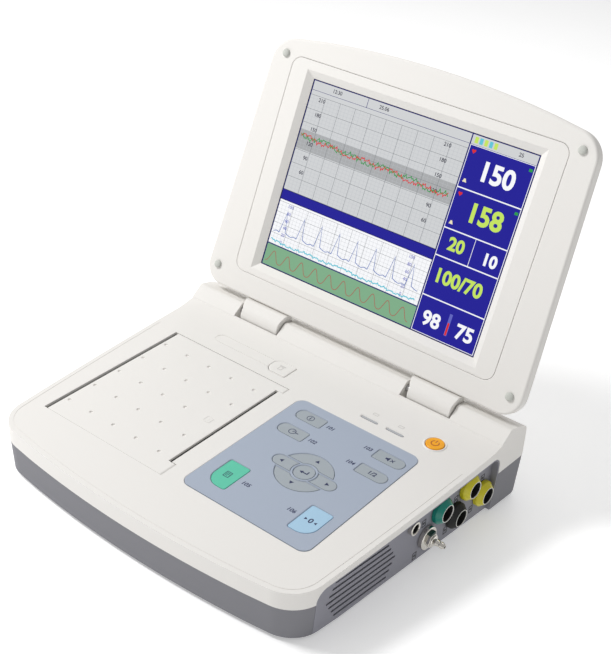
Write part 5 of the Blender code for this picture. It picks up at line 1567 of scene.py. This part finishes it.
class MONITOR_OT_screen_picture(bpy.types.Operator):
    """The lit picture: two trend charts, a strip of pressure humps and a column of readings"""

    bl_idname = "monitor.screen_picture"
    bl_label = "Screen picture"

    def execute(self, context):
        parts = []

        def show(mesh, colour):
            parts.append((mesh, finish(colour)))

        split = 0.722
        show(tiles([(0.0, 1.0, 0.0, 1.0)], 0), "lit_navy")
        show(tiles([(0.004, split, 0.004, 0.050)], 1), "lit_grey")
        show(tiles([(0.004, split, 0.052, 0.583)], 1), "lit_grey")
        show(tiles([(0.004, split, 0.588, 0.634)], 1), "lit_blue")
        show(tiles([(0.004, split, 0.639, 0.878)], 1), "lit_white")
        show(tiles([(0.004, split, 0.884, 0.996)], 1), "lit_green")
        show(tiles([(0.004, split, 0.258, 0.360)], 2), "lit_band")
        show(tiles(grid_lines(0.004, split, 0.075, 0.583, 42, 28, 0.00018), 3), "lit_faint")
        show(tiles(grid_lines(0.004, split, 0.075, 0.583, 10, 7, 0.0003), 4), "lit_line")
        show(tiles(grid_lines(0.004, split, 0.650, 0.878, 42, 12, 0.00016), 3), "lit_faint")
        show(tiles(grid_lines(0.004, split, 0.650, 0.878, 10, 4, 0.00028), 4), "lit_line")
        show(tiles([(0.262, 0.264, 0.004, 0.050)], 3), "lit_navy")
        for i, value in enumerate((210, 180, 150, 120, 90, 60)):
            v = 0.093 + i * (0.583 - 0.075) / 7 * 1.05
            for u in (0.062, 0.640):
                show(figures(str(value), u, v, 0.0052, 5, 0.00005), "lit_ink")
                show(figures(str(100 - 20 * i), u, 0.664 + i * 0.0385, 0.0045, 5), "lit_dim")
        count = 150
        for seed, colour, middle, reach in ((0.4, "lit_red", 0.292, 0.016), (2.6, "lit_trace", 0.290, 0.018)):
            points = []
            for i, value in enumerate(wander(seed, count, 0.8)):
                u = 0.012 + (split - 0.03) * i / (count - 1)
                points.append((u, middle + 0.030 * i / count - value * reach))
            show(trace(points, 0.0007, 6), colour)
        wave, foot = [], []
        for i in range(8 * 6 + 1):
            u = 0.012 + (split - 0.03) * i / (8 * 6)
            height = (0.0, 0.04, 0.02, 0.62, 0.06, 0.02)[i % 6]
            wave.append((u, 0.812 - height * 0.19))
        show(trace(wave, 0.0006, 6), "lit_wave")
        for i, value in enumerate(wander(1.3, 120, 1.0)):
            foot.append((0.012 + (split - 0.03) * i / 119, 0.860 - value * 0.008))
        show(trace(foot, 0.0010, 6), "lit_cyan")
        humps = []
        for i in range(10 * 14 + 1):
            phase = (i % 14) / 14
            rise = math.sin(math.pi * phase) ** 3
            humps.append((0.012 + (split - 0.03) * i / 140, 0.974 - 0.062 * rise))
        show(trace(humps, 0.0006, 6), "lit_hump")
        show(figures("12:30", 0.12, 0.027, 0.0050, 3, 0.00005), "lit_ink")
        show(figures("25.06", 0.34, 0.027, 0.0050, 3, 0.00005), "lit_ink")

        left, edges = split + 0.005, (0.052, 0.262, 0.466, 0.606, 0.810, 0.996)
        for top, bottom in zip(edges, edges[1:]):
            show(tiles([(left, 0.996, top, bottom)], 1), "lit_white")
            show(tiles([(left + 0.0025, 0.9935, top + 0.003, bottom - 0.003)], 2), "lit_blue")
        show(tiles([(left, 0.996, 0.004, 0.050)], 1), "lit_grey")
        for i in range(5):
            u = left + 0.012 + i * 0.020
            show(tiles([(u, u + 0.014, 0.012, 0.042)], 2), ("lit_lime", "lit_cyan")[i % 2])
        show(figures("25", 0.930, 0.027, 0.0050, 3, 0.00005), "lit_ink")
        middle = (left + 1.0) / 2 + 0.018
        show(tiles([(left + 0.138, left + 0.140, 0.466, 0.606)], 3), "lit_white")
        show(figures("150", middle - 0.016, 0.160, 0.0240, 3, 0.0008), "lit_white")
        show(figures("158", middle - 0.010, 0.362, 0.0240, 3, 0.0008), "lit_lime")
        show(figures("20", left + 0.072, 0.535, 0.0165, 3, 0.0006), "lit_lime")
        show(figures("10", left + 0.215, 0.545, 0.0150, 3, 0.0006), "lit_white")
        show(figures("100/70", middle - 0.030, 0.700, 0.0180, 3, 0.0006), "lit_lime")
        show(figures("98", left + 0.068, 0.918, 0.0185, 3, 0.0006), "lit_white")
        show(figures("75", left + 0.212, 0.918, 0.0185, 3, 0.0006), "lit_white")
        show(tiles([(left + 0.134, left + 0.146, 0.850, 0.960)], 3), "lit_dim")
        show(tiles([(left + 0.136, left + 0.144, 0.895, 0.958)], 4), "lit_red")
        for v in (0.080, 0.290):
            x, z = on_screen(left + 0.022, v)
            heart = [(0, -0.0022), (0.0020, 0.0001), (0.0019, 0.0013), (0.0009, 0.0017), (0, 0.0009),
                     (-0.0009, 0.0017), (-0.0019, 0.0013), (-0.0020, 0.0001)]
            show(slab([shifted(heart, x, z)], GLASS + LAYER * 3, GLASS + LAYER * 4, "XZ"), "lit_red")
            x, z = on_screen(left + 0.022, v + 0.145)
            bell = [(-0.0022, -0.0014), (0.0022, -0.0014), (0.0013, 0.0004), (0.0008, 0.0018),
                    (-0.0008, 0.0018), (-0.0013, 0.0004)]
            show(slab([shifted(bell, x, z)], GLASS + LAYER * 3, GLASS + LAYER * 4, "XZ"), "lit_cream")
            show(tiles([(left + 0.248, left + 0.262, v - 0.008, v + 0.006)], 3), "lit_trace")
        piece("screen_picture", parts, LID_FRAME, "lid", angle=20)
        return {"FINISHED"}


# ---------------------------------------------------------------- hinge and buffers
class MONITOR_OT_hinge(bpy.types.Operator):
    """The lid's two knuckles and its four rubber buffers"""

    bl_idname = "monitor.hinge"
    bl_label = "Hinge knuckles and buffers"

    def execute(self, context):
        arm_top = LID_BOTTOM - GAP
        profile = arc((0, 0), KNUCKLE_RADIUS, 126, 330, 56)
        profile += [(0.0082, arm_top), (LID_FACE + 0.0046, arm_top)]
        profile += arc((-0.0010, arm_top - 0.00685), 0.0058, 88, 136, 12)
        for name, side in (("knuckle_left", -1), ("knuckle_right", 1)):
            low, high = sorted((side * (NOTCH[0] + 0.0010), side * (NOTCH[1] - 0.0008)))
            shoulder = SHAFT_RADIUS + 0.0015
            taper = [
                (low + 0.0062, -0.02), (high - 0.0008, -0.02), (high - 0.0008, shoulder),
                (high, arm_top + 0.0005), (low, arm_top + 0.0005), (low + 0.0062, shoulder),
            ]
            sides = slab([taper], -0.03, 0.03, "XZ")
            body = carved(slab([profile], low, high, "YZ"), [sides], "INTERSECT")
            bore = rod(SHAFT_RADIUS + BORE_GAP, low - 0.01, high + 0.01, "X", steps=40)
            body = carved(carved(body, [], before=bevelled(0.0007, 3, 50)), [bore])
            piece(f"lid_{name}", [(body, finish("white_plastic"))], LID_FRAME, "lid",
                  [name], angle=30)
        low, high = SCREEN_FOOT - 0.0177, SCREEN_FOOT + 0.1997
        spots = {"lower_left": (-0.1694, low), "lower_right": (0.1694, low),
                 "upper_left": (-0.1591, high), "upper_right": (0.1591, high)}
        for name, (x, z) in spots.items():
            dome = [(0.0, GAP), (BUFFER_RADIUS, GAP)]
            dome += [(BUFFER_RADIUS * a, 0.0007 + 0.0020 * b) for a, b in arc((0, 0), 1, 0, 88, 12)]
            body = turned(dome + [(0.0, 0.0027)], "Z", steps=48)
            body.transform(Matrix.Translation((x, LID_FACE, z)) @ Matrix.Rotation(math.radians(90), 4, "X"))
            piece(f"buffer_{name}", [(body, finish("light_rubber"))], LID_FRAME, "lid",
                  [f"lid_bumper_{name}"], angle=35)
        return {"FINISHED"}


# ---------------------------------------------------------------- printer
class MONITOR_OT_printer(bpy.types.Operator):
    """The printer's door with its dimples, and the rubber roller under its edge"""

    bl_idname = "monitor.printer"
    bl_label = "Printer door and roller"

    def execute(self, context):
        sizes = context.scene.monitor_sizes
        outline = [(min(x, DOOR_PIVOT[0]), y) for x, y in door_outline()]
        body = slab([outline], DOOR_TOP - DOOR_THICKNESS, DOOR_TOP)
        spans = ((DOOR[2], DOOR[2] + TABS[0]), (DOOR[3] - TABS[1], DOOR[3]))
        joined = [rod(DOOR_BARREL_RADIUS, start, end, "Y", DOOR_PIVOT, 48) for start, end in spans]
        for end in DOOR[2:]:
            joined.append(rod(PIN_RADIUS, end - 0.0024, end + 0.0024, "Y", DOOR_PIVOT, 24))
        body = carved(body, joined, "UNION", bevelled(0.0004, 2, 60))
        reach = sizes.dimple
        dimple = turned(
            [(0, -0.0012), (reach * 0.66, -0.0012), (reach, 0.00005), (reach, 0.0004), (0, 0.0004)], steps=28
        )
        dimples = repeated(
            dimple, Matrix.Translation((-0.1430, -0.1131, DOOR_TOP)), Columns=5, Rows=5,
            Column_Pitch=0.0276, Row_Pitch=-0.0304, Left_Out=14, Finish=finish("white_plastic"),
        )
        body = carved(body, [dimples])
        outer = rounded(rectangle(-0.0362, -0.0290, -0.1780, -0.1700), 0.0012, 5)
        inner = inset(outer, 0.0006)
        dot = arc((-0.0326, -0.1740), 0.0011, 0, 345, 23)
        mark = slab([outer, inner[::-1], dot], DOOR_TOP - 0.0001, DOOR_TOP + 0.00025)
        parts = [(body, finish("white_plastic")), (mark, finish("white_plastic"))]
        piece("printer_door_panel", parts, DECK_FRAME, "printer_door", ["paper_door"],
              angle=30)

        start, end = DOOR[2] + 0.0015, DOOR[3] - 0.0015
        rubber = soft_rod(ROLLER_RADIUS, start, end, 0.0004, "Y", ROLLER, 64)
        axle = rod(AXLE_RADIUS, DOOR[2] - 0.0023, DOOR[3] + 0.0088, "Y", ROLLER, 32)
        parts = [(rubber, finish("black_rubber")), (axle, finish("steel"))]
        piece("paper_roller_rubber", parts, DECK_FRAME, "paper_roller", ["platen_roller"])
        return {"FINISHED"}


# ---------------------------------------------------------------- keypad
def key_marks():
    """The ink marks on each key, as outlines round the key's own middle or lettering."""
    x, y = NAV
    level = KEY_TOP
    ink = bpy.context.scene.monitor_sizes.ink

    def flat(*outlines):
        return slab(list(outlines), level, level + ink)

    def arrow(cx, cy, turn, size=0.0021):
        points = [(size, 0), (-size * 0.7, size * 1.0), (-size * 0.7, -size * 1.0)]
        c, s = math.cos(turn), math.sin(turn)
        return [(cx + a * c - b * s, cy + a * s + b * c) for a, b in points]

    def ring(cx, cy, outer, inner):
        return arc((cx, cy), outer, 0, 350, 35), arc((cx, cy), inner, 350, 0, 35)

    bent = [(x + 0.0034, y + 0.0026), (x + 0.0034, y - 0.0008), (x - 0.0012, y - 0.0008)]
    enter = [flat(stroke(bent, 0.0011)), flat(arrow(x - 0.0024, y - 0.0008, math.pi, 0.0019))]
    page = rectangle(0.0280, 0.0338, -0.2228, -0.2156)
    info, gauge = (0.0328, -0.11255), (0.0328, -0.1379)
    horn, zero = (0.1190, -0.11345), (0.1181, -0.2189)
    cone = [(-0.0040, -0.0010), (-0.0024, -0.0010), (-0.0002, -0.0028), (-0.0002, 0.0028),
            (-0.0024, 0.0010), (-0.0040, 0.0010)]
    rise = [(0.0012, -0.0018), (0.0046, 0.0018)]
    fall = [(0.0012, 0.0018), (0.0046, -0.0018)]
    lines = [rectangle(0.0292, right, low, low + 0.0006)
             for right, low in ((0.0326, -0.2178), (0.0326, -0.2194), (0.0316, -0.2210))]
    return {
        "key_left": [flat(arrow(x - 0.0243, y, math.pi))],
        "key_right": [flat(arrow(x + 0.0239, y, 0.0))],
        "key_up": [flat(arrow(x, y + 0.0183, math.pi / 2))],
        "key_down": [flat(arrow(x, y - 0.0176, -math.pi / 2))],
        "key_enter": enter,
        "key_info": [flat(*ring(*info, 0.0036, 0.0030)),
                     flat(shifted(rectangle(-0.0005, 0.0005, -0.0020, 0.0006), *info)),
                     flat(shifted(rectangle(-0.0005, 0.0005, 0.0012, 0.0020), *info))],
        "key_pressure": [flat(*ring(*gauge, 0.0036, 0.0029)),
                         flat(stroke(shifted([(0, 0), (0.0018, 0.0018)], *gauge), 0.0008)),
                         flat(stroke(shifted([(0.0036, 0), (0.0066, 0)], *gauge), 0.0009))],
        "key_silence": [flat(shifted(cone, *horn)), flat(stroke(shifted(rise, *horn), 0.0007)),
                        flat(stroke(shifted(fall, *horn), 0.0007))],
        "key_select": [lettering("1/2", 0.0066, (0.1190, -0.1385, level), ink, 0.00015)],
        "key_print": [flat(page, inset(page, 0.0006)[::-1]), *(flat(line) for line in lines)],
        "key_zero": [lettering("0", 0.0078, (*zero, level), ink, 0.0002),
                     flat(arrow(zero[0] - 0.0048, zero[1], 0.0, 0.0015)),
                     flat(arrow(zero[0] + 0.0048, zero[1], math.pi, 0.0015))],
    }


class MONITOR_OT_keypad(bpy.types.Operator):
    """The printed keypad film and its eleven marked keys"""

    bl_idname = "monitor.keypad"
    bl_label = "Keypad and keys"

    def execute(self, context):
        sizes = context.scene.monitor_sizes
        top = KEYPAD_PROUD
        film = pad(lambda grow: keypad_outline(-grow), top - KEYPAD_THICKNESS, top, 0.0002, 2)
        cutters = []
        for outline in KEYS.values():
            cutters.append(slab([outline(SLIDE_GAP)], -0.01, 0.01))
            cutters.append(lip(lambda grow, outline=outline: outline(SLIDE_GAP + grow), 0.0006, level=top))
        film = carved(film, cutters)
        parts = [(film, finish("keypad_blue"))]
        for body, x, y in LABELS:
            label = lettering(body, 0.0058, (x, y, top), sizes.ink, 0.00012, 0.15)
            parts.append((label, finish("ink_blue")))
        piece("keypad_film", parts, DECK_FRAME, "base",
              ["keypad_panel"], angle=25)
        colours = {"key_print": "key_green", "key_zero": "key_blue"}
        marks = key_marks()
        for node, outline in KEYS.items():
            colour = colours.get(node, "key_grey")
            body = pad(outline, KEY_TOP - KEY_DEPTH, KEY_TOP, sizes.key_edge, 3)
            parts = [(body, finish(colour))]
            for mark in marks[node]:
                parts.append((mark, finish("ink_blue")))
            piece(f"{node}_cap", parts, DECK_FRAME, f"{node}_body", [node], angle=30)
        return {"FINISHED"}


class MONITOR_OT_buttons(bpy.types.Operator):
    """The amber power button, the printer's release button and the two lamps"""

    bl_idname = "monitor.buttons"
    bl_label = "Buttons and lamps"

    def execute(self, context):
        ink = context.scene.monitor_sizes.ink
        x, y = POWER
        body = soft_rod(POWER_RADIUS, -0.0060, CAP_TOP, 0.0008, "Z", POWER, 72)
        circle = arc(POWER, 0.0035, 125, 415, 40)
        signs = [stroke(circle, 0.0009), stroke([(x, y + 0.0008), (x, y + 0.0046)], 0.0009)]
        parts = [(body, finish("power_amber"))]
        for sign in signs:
            parts.append((slab([sign], CAP_TOP, CAP_TOP + ink), finish("power_ink")))
        piece("power_button_cap", parts, DECK_FRAME, "power_button_body", ["power_button"])
        rim = POWER_RADIUS + SLIDE_GAP + 0.0004
        ring = turned([(rim, -0.0004), (rim, 0.0004), (rim + 0.0003, 0.0007), (rim + 0.0011, 0.0007),
                       (rim + 0.0016, 0.0001), (rim + 0.0016, -0.0004)], "Z", (*POWER, 0), 96)
        piece("power_button_ring", [(ring, finish("rim_white"))], DECK_FRAME, "base")

        body = pad(lambda grow: release_outline(-grow), -0.0060, RELEASE_TOP, 0.0009, 4)
        cx, cy = (RELEASE[0] + RELEASE[1]) / 2, (RELEASE[2] + RELEASE[3]) / 2
        page = rectangle(cx - 0.0022, cx + 0.0022, cy - 0.0036, cy + 0.0016)
        bar = rectangle(cx - 0.0034, cx + 0.0034, cy + 0.0022, cy + 0.0034)
        parts = [(body, finish("white_plastic")),
                 (slab([page, inset(page, 0.0006)[::-1]], RELEASE_TOP, RELEASE_TOP + 0.00015),
                  finish("shadow_ink")),
                 (slab([bar], RELEASE_TOP, RELEASE_TOP + 0.00015), finish("shadow_ink"))]
        piece("release_button_cap", parts, DECK_FRAME, "door_release_button_body",
              ["door_release_button"])

        for node, lamp_x in zip(("lamp_power", "lamp_charge"), LAMPS):
            body = pad(lambda grow, lamp_x=lamp_x: lamp_outline(lamp_x, -grow), -0.0040, -0.0002, 0.0003, 2)
            parts = [(body, finish("lamp_grey"))]
            sign = rectangle(lamp_x - 0.0028, lamp_x + 0.0028, LAMP_Y + 0.0080, LAMP_Y + 0.0112)
            parts.append((slab([sign, inset(sign, 0.0005)[::-1]], -0.0001, 0.00012), finish("shadow_ink")))
            piece(f"{node}_lens", parts, DECK_FRAME, "base", [node])
        return {"FINISHED"}


# ---------------------------------------------------------------- back and underside
class MONITOR_OT_back(bpy.types.Operator):
    """The mains inlet, the earth post, the battery's cover and the feet"""

    bl_idname = "monitor.back"
    bl_label = "Back and underside"

    def execute(self, context):
        body = slab([inlet_outline()], -0.0180, 0.0080, "XZ")
        body = carved(body, [slab([inlet_outline(0.0028, 0.001)], -FAR, 0.0052, "XZ")],
                      before=bevelled(0.0006, 3, 60))
        parts = [(body, finish("black_plastic"))]
        for x, z in ((0.0, 0.0040), (-0.0068, -0.0032), (0.0068, -0.0032)):
            low = (INLET[0] + x - 0.0010, -0.0060, INLET[1] + z - 0.0020)
            high = (INLET[0] + x + 0.0010, 0.0130, INLET[1] + z + 0.0020)
            pin = carved(box(low, high), [], before=bevelled(0.0004, 2, 60))
            parts.append((pin, finish("nickel")))
        piece("mains_inlet_housing", parts, DECK_FRAME, "base", ["power_inlet"])

        profile = [(0.0, 0.0060), (0.0040, 0.0060), (0.0040, 0.0180)]
        for i in range(5):
            profile += [(0.0035, 0.0184 + i * 0.0012), (0.0040, 0.0190 + i * 0.0012)]
        profile += [(0.0040, 0.0244), (0.0034, 0.0250), (0.0, 0.0250)]
        post = turned(profile, "Y", (EARTH_X, 0, INLET[1]), 48)
        piece("earth_stud", [(post, finish("brass"))], DECK_FRAME, "base", ["earth_post"])

        left, front = (middle - half for middle, half in zip(HATCH_MIDDLE, HATCH_HALF))
        right, back = (middle + half for middle, half in zip(HATCH_MIDDLE, HATCH_HALF))
        cover = pad(lambda grow: rounded(rectangle(left - grow, right + grow, front - grow, back + grow),
                                         0.0020 + grow, 5), FOOT_HEIGHT, FOOT_HEIGHT + CASE_WALL, 0.0003, 2)
        ribs = []
        for i in range(6):
            x = left + 0.010 + i * 0.0030
            low = (x, front + 0.012, FOOT_HEIGHT - 0.001)
            ribs.append(box(low, (x + 0.0012, back - 0.012, FOOT_HEIGHT + 0.0006)))
        cover = carved(cover, ribs)
        piece("battery_hatch", [(cover, finish("grey_plastic"))], GROUND_FRAME, "base",
              ["battery_cover"])

        for node in ("foot_front_left", "foot_front_right", "foot_rear_left", "foot_rear_right"):
            low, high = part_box(node)
            x, y = (low[0] + high[0]) / 2, (low[1] + high[1]) / 2
            profile = [(0.0, 0.0), (0.0070, 0.0), (0.0082, 0.0004), (0.0090, 0.0012), (0.0090, 0.0027),
                       (0.0, 0.0027)]
            foot = turned(profile, "Z", (x, y, 0), 56)
            piece(f"{node}_pad", [(foot, finish("black_rubber"))], Matrix.Identity(4), "base",
                  [node])
        return {"FINISHED"}


CARRIED_OVER = {
    "hinge_shaft_left": "steel", "hinge_shaft_right": "steel", "display_panel": "screen_glass",
    "display_board": "circuit_board", "main_board": "circuit_board", "keypad_board": "circuit_board",
    "print_head": "steel", "paper_tray": "black_plastic", "roller_gear": "brass", "motor_pinion": "brass",
    "printer_motor": "steel", "power_supply": "aluminium", "pressure_pump": "black_plastic",
    "speaker": "black_plastic", "battery_pack": "black_plastic",
}


class MONITOR_OT_inner_finishes(bpy.types.Operator):
    """Finishes for the inner pieces that keep their plain shapes"""

    bl_idname = "monitor.inner_finishes"
    bl_label = "Inner pieces"

    def execute(self, context):
        for node, surface in CARRIED_OVER.items():
            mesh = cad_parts[node].data
            mesh.materials.clear()
            mesh.materials.append(finish(surface))
        return {"FINISHED"}


# ---------------------------------------------------------------- stage
CAMERA_LENS = 69.69
SKY_LIGHT, SKY_SEEN = 0.44, 1.0
FLOOR_GLOW = 0.30
# each light's name, place, size and power
STUDIO_LIGHTS = (
    ("key_light", (-1.3, -0.8, 1.7), 0.6, 34.0), ("top_light", (-0.3, 1.3, 1.6), 1.0, 6.0),
)
# the camera's right, up and backward directions, and its place
CAMERA_AXES = (
    (0.77659, 0.62204, 0.09987), (-0.36432, 0.31409, 0.87671), (0.51398, -0.71723, 0.47054),
    (0.56662, -0.77402, 0.65944),
)


class MONITOR_OT_stage(bpy.types.Operator):
    """A pale floor, soft lights and the camera"""

    bl_idname = "monitor.stage"
    bl_label = "Stage"

    def execute(self, context):
        scene = context.scene
        floor = new_object(slab([rectangle(-6, 6, -6, 6)], -0.02, -0.0003), "floor")
        pale = plastic("floor_white", (0.93, 0.93, 0.93), 0.7, 0.0, 60.0, 0.0, 0.005)
        shader = pale.node_tree.nodes["Principled BSDF"]
        shader.inputs["Emission Color"].default_value = (1, 1, 1, 1)
        shader.inputs["Emission Strength"].default_value = FLOOR_GLOW
        floor.data.materials.append(pale)
        world = bpy.data.worlds.new("studio")
        world.use_nodes = True
        nodes, links = world.node_tree.nodes, world.node_tree.links
        nodes["Background"].inputs["Color"].default_value = (1, 1, 1, 1)
        strength = nodes.new("ShaderNodeMapRange")
        strength.inputs["To Min"].default_value = SKY_LIGHT
        strength.inputs["To Max"].default_value = SKY_SEEN
        links.new(nodes.new("ShaderNodeLightPath").outputs["Is Camera Ray"], strength.inputs["Value"])
        links.new(strength.outputs["Result"], nodes["Background"].inputs["Strength"])
        scene.view_settings.view_transform = "Standard"
        scene.world = world
        for name, place, size, power in STUDIO_LIGHTS:
            data = bpy.data.lights.new(name, "AREA")
            data.size = size
            data.energy = power
            lamp = bpy.data.objects.new(name, data)
            lamp.location = place
            lamp.rotation_euler = (Vector((0, 0, 0.1)) - Vector(place)).to_track_quat("-Z", "Y").to_euler()
            scene.collection.objects.link(lamp)
        data = bpy.data.cameras.new("camera")
        data.lens = CAMERA_LENS
        data.sensor_width = 36.0
        camera = bpy.data.objects.new("camera", data)
        matrix = Matrix.Identity(4)
        for column, axis in enumerate(CAMERA_AXES):
            for row in range(3):
                matrix[row][column] = axis[row]
        camera.matrix_world = matrix
        scene.collection.objects.link(camera)
        scene.camera = camera
        return {"FINISHED"}


MAKERS = (
    MONITOR_OT_stage, MONITOR_OT_top_case, MONITOR_OT_bottom_case, MONITOR_OT_connector_plate,
    MONITOR_OT_sockets, MONITOR_OT_jack_and_coupling, MONITOR_OT_lid_shells, MONITOR_OT_screen_frame,
    MONITOR_OT_screen_picture, MONITOR_OT_hinge, MONITOR_OT_printer, MONITOR_OT_keypad,
    MONITOR_OT_buttons, MONITOR_OT_back, MONITOR_OT_inner_finishes,
)


class MONITOR_PT_makers(bpy.types.Panel):
    """Lists the steps that build the monitor"""

    bl_idname = "MONITOR_PT_makers"
    bl_label = "Patient monitor"
    bl_space_type = "VIEW_3D"
    bl_region_type = "UI"
    bl_category = "Monitor"

    def draw(self, context):
        for settings in (context.scene.monitor_sizes, context.scene.monitor_colours):
            column = self.layout.column(align=True)
            for name in settings.__annotations__:
                column.prop(settings, name)
        for maker in MAKERS:
            self.layout.operator(maker.bl_idname)


def register():
    for item in (MonitorColours, MonitorSizes, *MAKERS, MONITOR_PT_makers):
        bpy.utils.register_class(item)
    bpy.types.Scene.monitor_colours = bpy.props.PointerProperty(type=MonitorColours)
    bpy.types.Scene.monitor_sizes = bpy.props.PointerProperty(type=MonitorSizes)


def unregister():
    del bpy.types.Scene.monitor_sizes
    del bpy.types.Scene.monitor_colours
    for item in reversed((MonitorColours, MonitorSizes, *MAKERS, MONITOR_PT_makers)):
        bpy.utils.unregister_class(item)


def main():
    register()
    for maker in MAKERS:
        group, name = maker.bl_idname.split(".")
        getattr(getattr(bpy.ops, group), name)()


if __name__ == "__main__":
    main()
